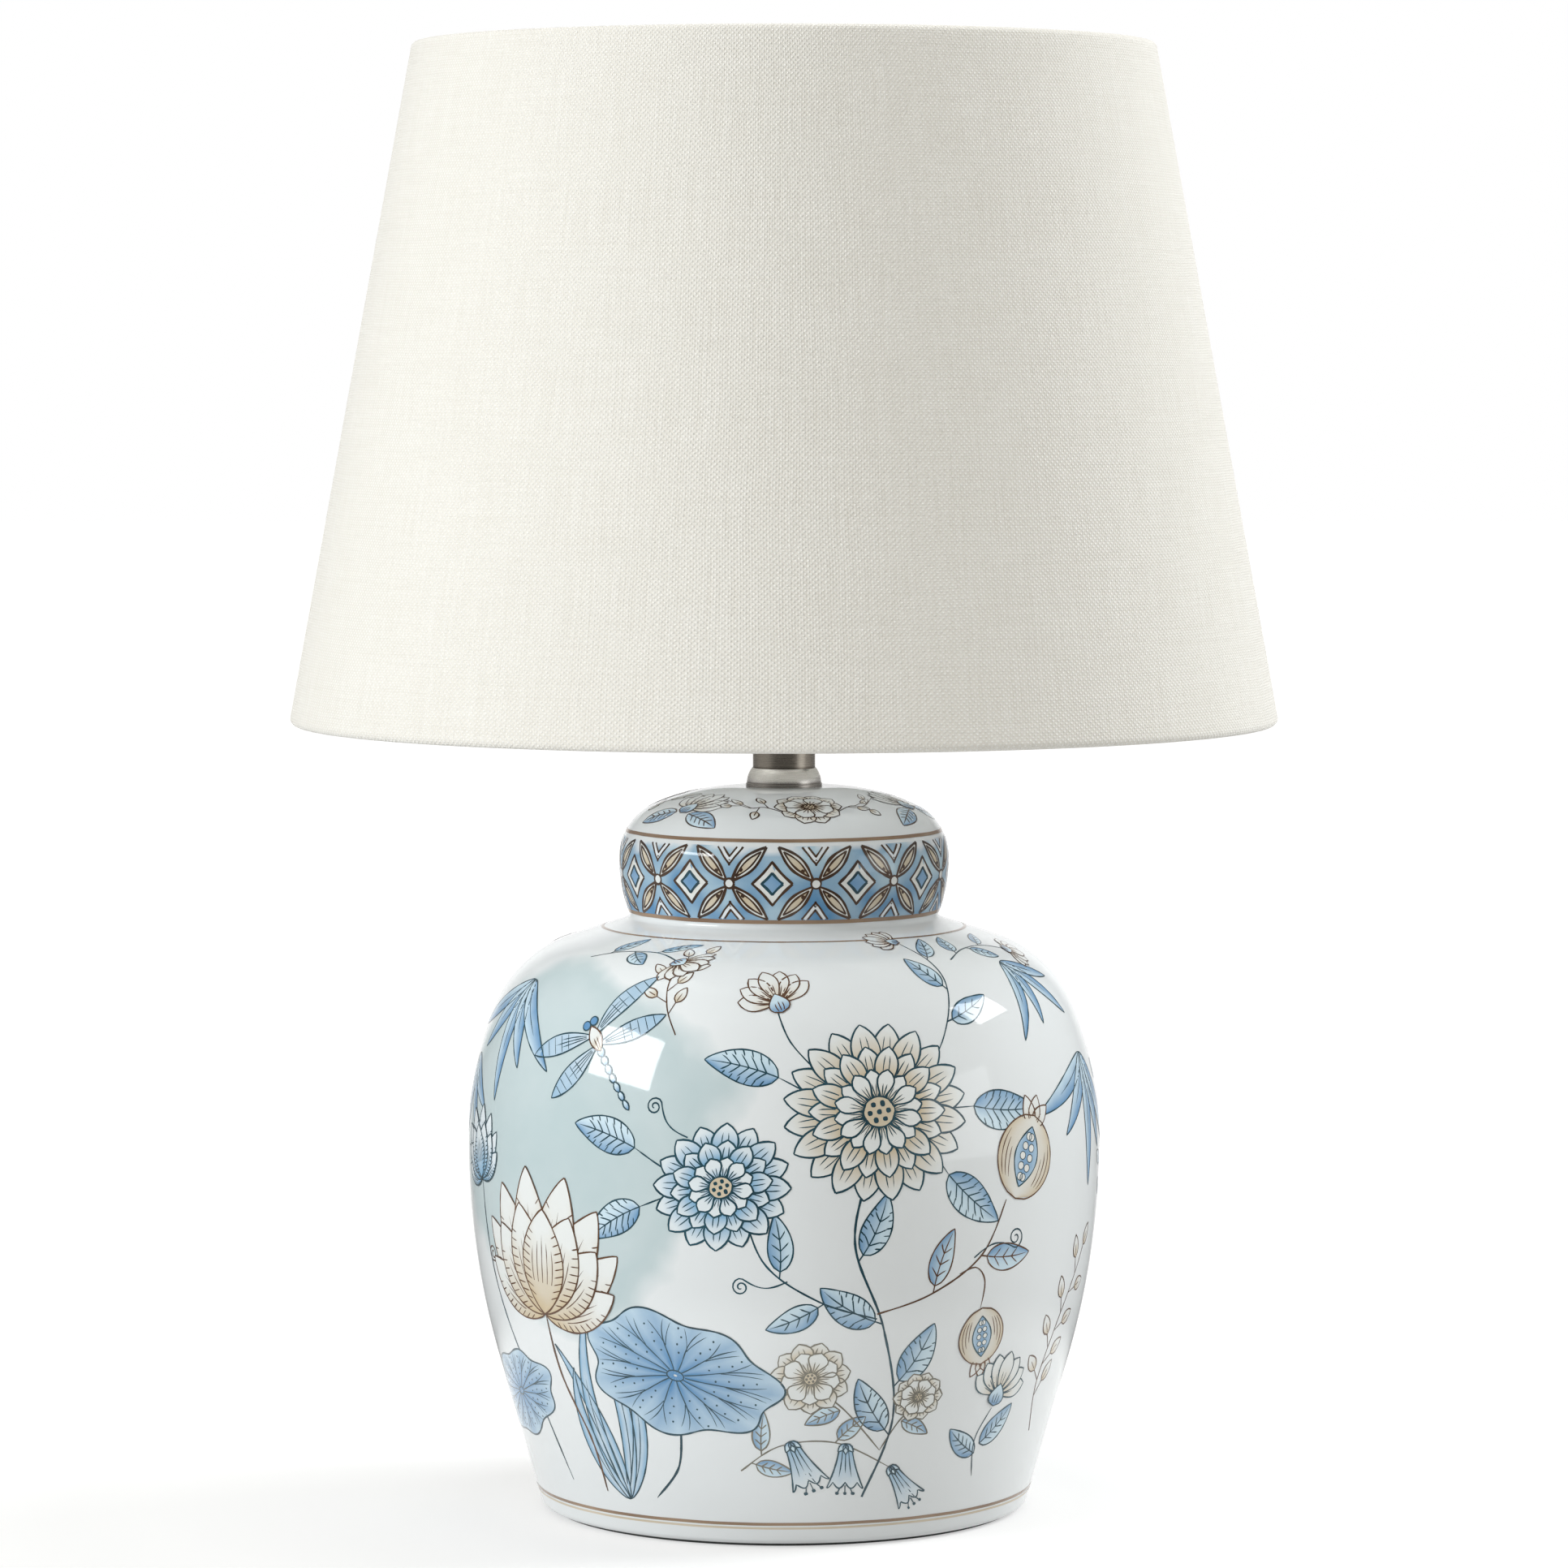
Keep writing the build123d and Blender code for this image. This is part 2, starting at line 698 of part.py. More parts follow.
def bulb_outline(inset):
    """Closed half outline of the glass, moved in by inset, down to its open end in the cap."""
    neck = bulb_neck_radius - inset
    low_z = bulb_cap_top_z - bulb_neck_depth
    ball = bulb_radius - inset
    ball_center = (0, bulb_ball_z)
    lean = degrees(flare_lean)
    Polyline(
        (0, bulb_ball_z + ball),
        (0, low_z),
        (neck, low_z),
        (neck, bulb_cap_top_z + inset * tan(flare_lean / 2)),
        polar(ball_center, ball, -lean),
    )
    CenterArc(ball_center, ball, -lean, 90 + lean)


with BuildPart() as bulb_glass:
    with BuildSketch(Plane.XZ):
        with BuildLine():
            bulb_outline(0)
        make_face()
    revolve(axis=Axis.Z)
    with BuildSketch(Plane.XZ):
        with BuildLine():
            bulb_outline(bulb_glass_wall)
        make_face()
    revolve(axis=Axis.Z, mode=Mode.SUBTRACT)
save(bulb_glass, "bulb_glass")

cap_inside = bulb_cap_radius - bulb_cap_wall
with BuildPart() as bulb_cap:
    with BuildSketch(Plane.XZ):
        with BuildLine():
            Polyline(
                (bulb_cap_radius, bulb_cap_top_z),
                (bulb_cap_radius, bulb_cap_z + bulb_cap_taper),
                (bulb_cap_radius - bulb_cap_taper, bulb_cap_z),
                (bulb_cap_hole, bulb_cap_z),
                (bulb_cap_hole, bulb_cap_z + bulb_cap_wall),
                (cap_inside - bulb_cap_taper, bulb_cap_z + bulb_cap_wall),
                (cap_inside, bulb_cap_z + bulb_cap_wall + bulb_cap_taper),
                (cap_inside, bulb_cap_top_z),
                close=True,
            )
        make_face()
    revolve(axis=Axis.Z)
save(bulb_cap, "bulb_cap")

with BuildPart() as bulb_insulator:
    with BuildSketch(Plane.XZ):
        with BuildLine():
            Polyline(
                (0, insulator_z),
                (insulator_bottom_radius, insulator_z),
                (insulator_top_radius, bulb_cap_z),
                (0, bulb_cap_z),
                close=True,
            )
        make_face()
    revolve(axis=Axis.Z)
save(bulb_insulator, "bulb_insulator")

with BuildPart() as bulb_contact:
    with BuildSketch(Plane.XY.offset(bulb_z)):
        Circle(tip_radius)
    extrude(amount=tip_height)
    fillet(circles_at(bulb_contact, bulb_z), tip_round)
save(bulb_contact, "bulb_contact")
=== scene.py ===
# %% [markdown]
# # A porcelain table lamp with a linen shade
#
# This lesson dresses a finished construction model of a table lamp. The construction model is
# the frame: it holds every piece at its real size, and nothing here moves or resizes it.
# Lengths are in metres, +Z is up, and the front of the lamp faces -Y.

# %% Load the frame
from math import asin, atan, atan2, ceil, cos, degrees, dist, hypot, pi, radians, sin, sqrt, tan

import bmesh
import bpy
from mathutils import Matrix, Vector, noise


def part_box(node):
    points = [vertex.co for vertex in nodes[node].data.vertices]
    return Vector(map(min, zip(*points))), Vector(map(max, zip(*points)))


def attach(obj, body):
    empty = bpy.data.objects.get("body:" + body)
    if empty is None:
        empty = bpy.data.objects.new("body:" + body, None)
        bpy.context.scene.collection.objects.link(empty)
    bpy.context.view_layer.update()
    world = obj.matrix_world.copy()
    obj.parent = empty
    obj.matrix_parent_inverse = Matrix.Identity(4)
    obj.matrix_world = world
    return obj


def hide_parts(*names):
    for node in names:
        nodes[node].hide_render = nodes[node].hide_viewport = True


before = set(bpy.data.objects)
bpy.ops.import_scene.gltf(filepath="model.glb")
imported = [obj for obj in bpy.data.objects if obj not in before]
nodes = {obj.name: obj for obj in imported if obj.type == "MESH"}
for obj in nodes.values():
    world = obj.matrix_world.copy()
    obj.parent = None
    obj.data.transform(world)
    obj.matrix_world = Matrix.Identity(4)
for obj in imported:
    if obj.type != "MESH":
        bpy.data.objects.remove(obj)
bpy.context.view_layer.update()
MM = 0.001

# %% [markdown]
# ## Wiring finishes with plain arithmetic
#
# A finish is a small network of nodes. Wiring it by hand takes many lines, so one class wraps a
# socket: arithmetic on it adds Math nodes, and `node` adds any other kind. What follows can then
# be read as a formula.


# %% A socket with arithmetic
class Signal:
    """One output socket of a finish."""

    def __init__(self, tree, socket):
        self.tree = tree
        self.socket = socket

    def node(self, kind, settings=None, sockets=None, output=0):
        """Add a node, set it up, join its inputs, and give back one of its outputs."""
        made = self.tree.nodes.new(kind)
        for name, value in (settings or {}).items():
            setattr(made, name, value)
        for name, value in (sockets or {}).items():
            plug(self.tree, made.inputs[name], value)
        return Signal(self.tree, made.outputs[output])

    def maths(self, operation, second=0.0):
        return self.node("ShaderNodeMath", {"operation": operation}, {0: self, 1: second})

    def __add__(self, other):
        return self.maths("ADD", other)

    def __sub__(self, other):
        return self.maths("SUBTRACT", other)

    def __rsub__(self, other):
        return self.node("ShaderNodeMath", {"operation": "SUBTRACT"}, {0: other, 1: self})

    def __mul__(self, other):
        return self.maths("MULTIPLY", other)

    def __truediv__(self, other):
        return self.maths("DIVIDE", other)

    __radd__ = __add__
    __rmul__ = __mul__

    def axis(self, name):
        return self.node("ShaderNodeSeparateXYZ", None, {0: self}, name)

    def scaled(self, x, y, z):
        return self.node("ShaderNodeMapping", None, {"Vector": self, "Scale": (x, y, z)})

    def noise(self, scale, detail=3.0, roughness=0.5):
        sockets = {"Vector": self, "Scale": scale, "Detail": detail, "Roughness": roughness}
        return self.node("ShaderNodeTexNoise", None, sockets, "Fac")

    def ramp(self, *stops):
        """Greys at given places between 0 and 1, blended in between."""
        made = self.node("ShaderNodeValToRGB", None, {0: self}, "Color")
        elements = made.socket.node.color_ramp.elements
        while len(elements) < len(stops):
            elements.new(1.0)
        for element, (place, value) in zip(elements, stops):
            element.position = place
            element.color = grey(value)
        return made

    def between(self, low, high):
        """Run from 0 to 1 as the signal goes from low to high, and stay there."""
        return self.node("ShaderNodeMapRange", None, {"Value": self, "From Min": low, "From Max": high})

    def colour(self, low, high):
        """Mix two colours by this signal."""
        return self.node("ShaderNodeMix", {"data_type": "RGBA"}, {0: self, 6: low, 7: high}, 2)


def plug(tree, socket, value):
    """Join a signal to an input socket, or set a steady value on it."""
    if isinstance(value, Signal):
        tree.links.new(value.socket, socket)
    else:
        socket.default_value = value


def feed(material, **values):
    """Give the shader's sockets their signals and steady values."""
    shader = material.node_tree.nodes["Principled BSDF"]
    for name, value in values.items():
        plug(material.node_tree, shader.inputs[name.replace("_", " ")], value)


def new_finish(name, **constants):
    """A material whose steady values are set on the shader's own sockets."""
    material = bpy.data.materials.new(name)
    material.use_nodes = True
    feed(material, **constants)
    return material


def source(owner, kind, output, **settings):
    """A first signal, such as the object's own coordinates."""
    return Signal(owner.node_tree, None).node(kind, settings, None, output)


def bump(height, distance, strength=1.0):
    sockets = {"Height": height, "Distance": distance, "Strength": strength}
    return height.node("ShaderNodeBump", None, sockets, "Normal")


def grey(value):
    return (value, value, value, 1.0)


print("finishes can be wired")

# %% [markdown]
# ## Turning outlines into pieces
#
# The jar, lid, neck and lampholder are all turned shapes. Each starts as half an outline, a chain
# of points in the plane of radius and height, and the spin operator turns it about the lamp's axis.

# %% Outlines and the lathe
SHORTEST_EDGE = 1e-7
WELD = 1e-6
SHARP_ANGLE = radians(35)


def polar(center, radius, angle):
    return (center[0] + radius * cos(radians(angle)), center[1] + radius * sin(radians(angle)))


def arc(center, radius, start, end, step=2.5 * MM):
    """Points along an arc, about one step apart, in degrees from level."""
    count = max(3, ceil(abs(radians(end - start)) * radius / step))
    return [polar(center, radius, start + (end - start) * i / count) for i in range(count + 1)]


def corner(radius, height, size, start, step):
    """Quarter of an arc that rounds off a square corner, from its start angle on."""
    inward = 1 if start in (90, 180) else -1
    upward = 1 if start in (-90, 180) else -1
    return arc((radius + inward * size, height + upward * size), size, start, start + 90, step)


def divided(start, end, step=3.0 * MM):
    """Points along a straight line, about one step apart."""
    count = max(1, ceil(dist(start, end) / step))
    return [tuple(a + (b - a) * i / count for a, b in zip(start, end)) for i in range(count + 1)]


def lathe(outline, sides):
    """Spin a closed outline about the Z axis and weld its seam and poles."""
    bm = bmesh.new()
    verts = [bm.verts.new((radius, 0, height)) for radius, height in outline]
    pairs = zip(verts, verts[1:] + verts[:1])
    edges = [bm.edges.new(pair) for pair in pairs if (pair[0].co - pair[1].co).length > SHORTEST_EDGE]
    turn = {"cent": (0, 0, 0), "axis": (0, 0, 1), "angle": 2 * pi}
    bmesh.ops.spin(bm, geom=verts + edges, steps=sides, use_merge=True, **turn)
    bmesh.ops.remove_doubles(bm, verts=bm.verts, dist=WELD)
    bmesh.ops.recalc_face_normals(bm, faces=bm.faces)
    return bm


def add_piece(name, bm, material, body, slot, *replaced):
    """Write a bmesh to a new object that rides on a body and may stand for nodes of the frame."""
    mesh = bpy.data.meshes.new(name)
    bm.to_mesh(mesh)
    bm.free()
    mesh.materials.append(material)
    mesh.shade_smooth()
    mesh.set_sharp_from_angle(angle=SHARP_ANGLE)
    piece = bpy.data.objects.new(name, mesh)
    bpy.context.scene.collection.objects.link(piece)
    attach(piece, body)
    if replaced:
        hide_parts(*replaced)
    print(name, "faces", len(mesh.polygons))
    return piece


print("lathe ready")

# %% [markdown]
# ## The jar's form
#
# The jar is slip-cast porcelain with a thick glaze. Its side is a cone above the foot, three arcs
# that run smoothly into each other, and a straight shoulder up to a short collar. The same
# outline, moved in by the wall, is the hollow inside. The paint is wrapped onto this outline later,
# so it is kept as an object that can be asked for a point at any length along it.


# %% Outline that can be walked along
class Outline:
    """Straight runs (start, end) and arcs (center, radius, start, end) in a chain, walked by length."""

    def __init__(self, *parts):
        self.parts = parts
        self.lengths = [dist(*p) if len(p) == 2 else p[1] * radians(abs(p[3] - p[2])) for p in parts]
        self.length = sum(self.lengths)

    def at(self, length):
        """Radius, height and outward normal at a length from the bottom."""
        left = min(max(length, 0.0), self.length)
        for part, size in zip(self.parts, self.lengths):
            if left <= size or part is self.parts[-1]:
                break
            left -= size
        share = min(left / size, 1.0)
        if len(part) == 2:
            (r0, z0), (r1, z1) = part
            return r0 + (r1 - r0) * share, z0 + (z1 - z0) * share, (z1 - z0) / size, (r0 - r1) / size
        center, radius, start, end = part
        angle = start + (end - start) * share
        return *polar(center, radius, angle), *polar((0, 0), 1, angle)

    def points(self):
        found = []
        for part in self.parts:
            found = found[:-1] + (divided(*part) if len(part) == 2 else arc(*part))
        return found


FOOT_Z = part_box("jar_body")[0][2]
BELLY_RADIUS = 128.7 * MM
BELLY_Z = FOOT_Z + 148.4 * MM
LOWER_ARC = 315.7 * MM
FOOT_LEAN = 16.0
UPPER_ARC = 144.7 * MM
UPPER_TURN = 22.5
SHOULDER_ARC = 48.5 * MM
SHOULDER_TURN = 72.0
COLLAR_RADIUS = 62.8 * MM
lower_center = (BELLY_RADIUS - LOWER_ARC, BELLY_Z)
upper_center = (BELLY_RADIUS - UPPER_ARC, BELLY_Z)
shoulder_center = polar(upper_center, UPPER_ARC - SHOULDER_ARC, UPPER_TURN)


def jar_outline(inset, low_z, end_radius):
    """The jar's side moved in by inset, from a height up to a radius."""
    cone_top = polar(lower_center, LOWER_ARC - inset, -FOOT_LEAN)
    cone_low = (cone_top[0] - (cone_top[1] - low_z) * tan(radians(FOOT_LEAN)), low_z)
    slope_low = polar(shoulder_center, SHOULDER_ARC - inset, SHOULDER_TURN)
    slope_high = (end_radius, slope_low[1] + (slope_low[0] - end_radius) / tan(radians(SHOULDER_TURN)))
    return Outline(
        (cone_low, cone_top),
        (lower_center, LOWER_ARC - inset, -FOOT_LEAN, 0),
        (upper_center, UPPER_ARC - inset, 0, UPPER_TURN),
        (shoulder_center, SHOULDER_ARC - inset, UPPER_TURN, SHOULDER_TURN),
        (slope_low, slope_high),
    )


jar_side = jar_outline(0, FOOT_Z, COLLAR_RADIUS)
print("jar outline", round(jar_side.length / MM), "mm from foot to collar")

# %% [markdown]
# ## White glaze
#
# Glaze is glass melted over the clay: nearly mirror smooth, with a faint ripple that bends
# reflections. Under it lies a cool white, and on two sides of the jar a thin grey-green sky, brushed
# on and fading out at its edges. The product of X and Y picks those two sides: it is the
# same after half a turn, as the painting is.

# %% Glaze finish
GLASSY = {"Roughness": 0.05, "IOR": 1.52, "Coat_Weight": 0.15, "Coat_Roughness": 0.03}
WHITES = ((0.71, 0.74, 0.755, 1), (0.755, 0.778, 0.788, 1))
SKY_COLOUR = (0.41, 0.52, 0.54, 1)
SKY_STOPS = ((0.44, 0.0), (0.53, 0.78), (0.57, 0.86), (0.66, 0.76), (0.95, 1.0))
SKY_Z = 0.168
SKY_HALF_HEIGHT = 0.075
SKY_OFFSET = 0.21
SKY_CLOUDS = (17.0, 3.0, 0.55)
SKY_STREAKS = (60.0, 2.0)
WHITE_DRIFT = (9.0, 2.0)
RIPPLES = (28.0, 1.0)
RIPPLE_HEIGHT = 0.12 * MM


def glaze_finish(name, washed):
    """White glaze. Washed is the strength of the grey-green sky that is brushed on under it."""
    material = new_finish(name, **GLASSY)
    place = source(material, "ShaderNodeTexCoord", "Object")
    quarter = place.axis("X") * place.axis("Y") / BELLY_RADIUS**2
    off_middle = (place.axis("Z") - SKY_Z) / SKY_HALF_HEIGHT
    field = quarter + 0.3 * (1 - off_middle * off_middle) + 0.5 * place.noise(*SKY_CLOUDS) - SKY_OFFSET
    brushed = field.ramp(*SKY_STOPS) * (0.8 + 0.2 * place.noise(*SKY_STREAKS)) * washed
    feed(material, Base_Color=brushed.colour(place.noise(*WHITE_DRIFT).colour(*WHITES), SKY_COLOUR))
    feed(material, Normal=bump(place.noise(*RIPPLES), RIPPLE_HEIGHT))
    return material


glaze = glaze_finish("white_glaze", 0.0)
jar_glaze = glaze_finish("washed_glaze", 1.0)
print("glazes", glaze.name, jar_glaze.name)

# %% Jar
JAR_SIDES = 224
JAR_WALL = 5.5 * MM
LEDGE_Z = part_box("jar_lid")[0][2]
JAR_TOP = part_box("jar_body")[1][2]
FOOT_ROUND = 3.0 * MM
FOOT_STEP = 0.5 * MM
FOOT_RING = 14.0 * MM
FOOT_RECESS = 14.0 * MM
JAR_FLOOR = 6.0 * MM
TUBE_HOLE = 5.3 * MM
COLLAR_FILLET = 2.2 * MM
NECK_RADIUS = 58.17 * MM
LIP_ROUND = 1.2 * MM
SMALL_STEP = 0.4 * MM


def jar_rings():
    """Closed half outline: up the outside, over the neck, down the inside and round the foot."""
    side = jar_side.points()
    foot_radius = side[0][0]
    reach = FOOT_ROUND * tan(radians((90 - FOOT_LEAN) / 2))
    outside = arc((foot_radius - reach, FOOT_Z + FOOT_ROUND), FOOT_ROUND, -90, -FOOT_LEAN, FOOT_STEP)
    outside += [p for p in side if p[1] > outside[-1][1] and p[0] > COLLAR_RADIUS + COLLAR_FILLET]
    collar_center = (COLLAR_RADIUS + COLLAR_FILLET, side[-1][1] + COLLAR_FILLET * 0.9)
    outside += arc(collar_center, COLLAR_FILLET, 180 + SHOULDER_TURN, 180, SMALL_STEP)
    mouth = NECK_RADIUS - JAR_WALL
    neck = [(COLLAR_RADIUS, LEDGE_Z), (NECK_RADIUS, LEDGE_Z)]
    neck += corner(NECK_RADIUS, JAR_TOP, LIP_ROUND, 0, SMALL_STEP)
    neck += corner(mouth, JAR_TOP, LIP_ROUND, 90, SMALL_STEP)
    ceiling = FOOT_Z + FOOT_RECESS
    inside = jar_outline(JAR_WALL, ceiling + JAR_FLOOR, mouth).points()[::-1]
    recess = foot_radius - FOOT_RING
    hole = [(TUBE_HOLE, ceiling + JAR_FLOOR), (TUBE_HOLE, ceiling)]
    return outside + neck + inside + hole + [(recess, ceiling), (recess, FOOT_Z)]


jar_mesh = lathe(jar_rings(), JAR_SIDES)
jar = add_piece("porcelain_jar", jar_mesh, jar_glaze, "base", "glazed_porcelain", "jar_body")

# %% [markdown]
# The flex leaves the jar at the back, just above the foot, through a hole drilled square to the wall.

# %% Hole for the flex
CORD_Z = FOOT_Z + 34.0 * MM
CORD_HOLE = 5.5 * MM
DRILL_LENGTH = 40 * MM
cord_radius = jar_side.at((CORD_Z - FOOT_Z) / cos(radians(FOOT_LEAN)))[0]
bpy.ops.mesh.primitive_cylinder_add(
    vertices=48,
    radius=CORD_HOLE,
    depth=DRILL_LENGTH,
    location=(0, cord_radius, CORD_Z),
    rotation=(radians(90 - FOOT_LEAN), 0, 0),
)
drill = bpy.context.object
hole = jar.modifiers.new("cord_hole", "BOOLEAN")
hole.object = drill
hole.solver = "EXACT"
drilled = bpy.data.meshes.new_from_object(jar.evaluated_get(bpy.context.evaluated_depsgraph_get()))
jar.modifiers.clear()
jar.data = drilled
bpy.data.objects.remove(drill)
print("jar with its cord hole", len(drilled.polygons))

# %% [markdown]
# ## The lid
#
# The lid is a cap that stands over the jar's neck. Four arcs take its outline from the rim to a
# flat land in the middle, where the metal neck sits.

# %% Lid
LID_SIDES = 192
LID_RADIUS = 66.96 * MM
LID_BELLY_Z = LEDGE_Z + 21.8 * MM
LID_LOWER_ARC = 66.0 * MM
LID_UPPER_ARC = 25.8 * MM
LID_UPPER_TURN = 17.4
LID_CORNER_ARC = 22.4 * MM
LID_CORNER_TURN = 65.7
LID_DOME_ARC = 87.0 * MM
LID_WALL = 4.5 * MM
LID_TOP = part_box("jar_lid")[1][2]
lid_lower_center = (LID_RADIUS - LID_LOWER_ARC, LID_BELLY_Z)
lid_upper_center = (LID_RADIUS - LID_UPPER_ARC, LID_BELLY_Z)
lid_corner_center = polar(lid_upper_center, LID_UPPER_ARC - LID_CORNER_ARC, LID_UPPER_TURN)
lid_dome_center = polar(lid_corner_center, LID_CORNER_ARC - LID_DOME_ARC, LID_CORNER_TURN)


def lid_outline(inset):
    """The lid's side moved in by inset, from its rim to the hole in the middle."""
    rim = -degrees(asin((LID_BELLY_Z - LEDGE_Z) / (LID_LOWER_ARC - inset)))
    return Outline(
        (lid_lower_center, LID_LOWER_ARC - inset, rim, 0),
        (lid_upper_center, LID_UPPER_ARC - inset, 0, LID_UPPER_TURN),
        (lid_corner_center, LID_CORNER_ARC - inset, LID_UPPER_TURN, LID_CORNER_TURN),
        (lid_dome_center, LID_DOME_ARC - inset, LID_CORNER_TURN, 90),
        ((lid_dome_center[0], LID_TOP - inset), (TUBE_HOLE, LID_TOP - inset)),
    )


lid_side = lid_outline(0)
lid_mesh = lathe(lid_side.points() + lid_outline(LID_WALL).points()[::-1], LID_SIDES)
add_piece("porcelain_lid", lid_mesh, glaze, "base", "glazed_porcelain", "jar_lid")

# %% [markdown]
# ## Painting on a turned surface
#
# The decoration is painted by hand under the glaze: thin outlines first, then soft washes. Here
# each brush mark is a very thin film that follows the porcelain, so it stays crisp from close by and
# travels with the piece. A spot is a place on the surface with its own flat sheet of paper in
# millimetres; marks are drawn on the paper and then wrapped round the jar.

# %% Films of paint
WASH_LIFT = 0.05
LINE_LIFT = 0.015
LEVEL_LIFT = 0.04
INK_DRIFT = 45
WANDER = 0.12
PAGE_SIZE = 2500
ROUND_STEPS = 240


def colour_of(red, green, blue):
    """A colour as seen on a screen, turned into amounts of light."""
    parts = [value / 255 for value in (red, green, blue)]
    return tuple(p / 12.92 if p < 0.04045 else ((p + 0.055) / 1.055) ** 2.4 for p in parts) + (1.0,)


def around(radius, angle):
    """A place on flat paper by its distance and direction from the middle."""
    return polar((0, 0), radius, angle)


def mixed(low, high, share):
    return tuple(a + (b - a) * share for a, b in zip(low, high))


def clamped(value):
    return min(max(value, 0), 1)


def inked(ink):
    """Tint that drifts between two inks."""
    return lambda a, b, where: mixed(*ink, 0.5 + 0.5 * noise.noise(where * INK_DRIFT))


def new_page():
    page = bmesh.new()
    page.verts.layers.float_color.new("pigment")
    return page


class Film:
    """Brush marks on one piece of porcelain: washes below and lines above, kept in small pages."""

    def __init__(self, outline):
        self.outline = outline
        self.washes = [new_page()]
        self.lines = [new_page()]

    def lay(self, pages, columns, rows, shape, tint):
        """One grid, bent by shape and tinted, both as functions of places from 0 to 1."""
        if len(pages[-1].verts) > PAGE_SIZE:
            pages.append(new_page())
        pigment = pages[-1].verts.layers.float_color["pigment"]
        grid = bmesh.ops.create_grid(pages[-1], x_segments=columns, y_segments=rows, size=0.5)
        for vert in grid["verts"]:
            a, b = vert.co.x + 0.5, vert.co.y + 0.5
            vert.co = shape(a, b)
            vert[pigment] = tint(a, b, vert.co)

    def stripe(self, length, width, ink):
        """A line right round the piece, turned on a wheel against the brush."""

        def place(a, b):
            wander = WANDER * noise.noise(Vector((6 * cos(2 * pi * a), 6 * sin(2 * pi * a), length)))
            return Spot(self, 360 * a, length).wrapped(0, (b - 0.5) * width + wander, WASH_LIFT + LINE_LIFT)

        self.lay(self.lines, ROUND_STEPS, 1, place, inked(ink))

    def dry(self, name, heart):
        """Turn every mark to face away from the heart of the piece, and gather the pages into pieces."""
        for pages, part in ((self.washes, "_washes"), (self.lines, "_lines")):
            whole = bmesh.new()
            for page in pages:
                page.normal_update()
                inward = [f for f in page.faces if f.normal.dot(f.calc_center_median() - heart) < 0]
                bmesh.ops.reverse_faces(page, faces=inward)
                dried = bpy.data.meshes.new("page")
                page.to_mesh(dried)
                page.free()
                whole.from_mesh(dried)
                bpy.data.meshes.remove(dried)
            add_piece(name + part, whole, paint_finish, "base", "glazed_porcelain")


paint_finish = new_finish("painted_glaze", **GLASSY)
pigment = source(paint_finish, "ShaderNodeAttribute", "Color", attribute_name="pigment")
feed(paint_finish, Base_Color=pigment)
print("paint", paint_finish.name)

# %% Spot on a surface
MOTTLE = 0.13
BLOTCH_SCALE = 160
POINTED = (0.35, 0.35)
BLUNT = (0.8, 0.8)
EVEN = (1, 1)
TAPER_RATE = 4
PRESSURE = 0.45
PRESSURE_SCALE = 0.25
BRUSH_STEP = 1.8
BOTH = (-1, 1)


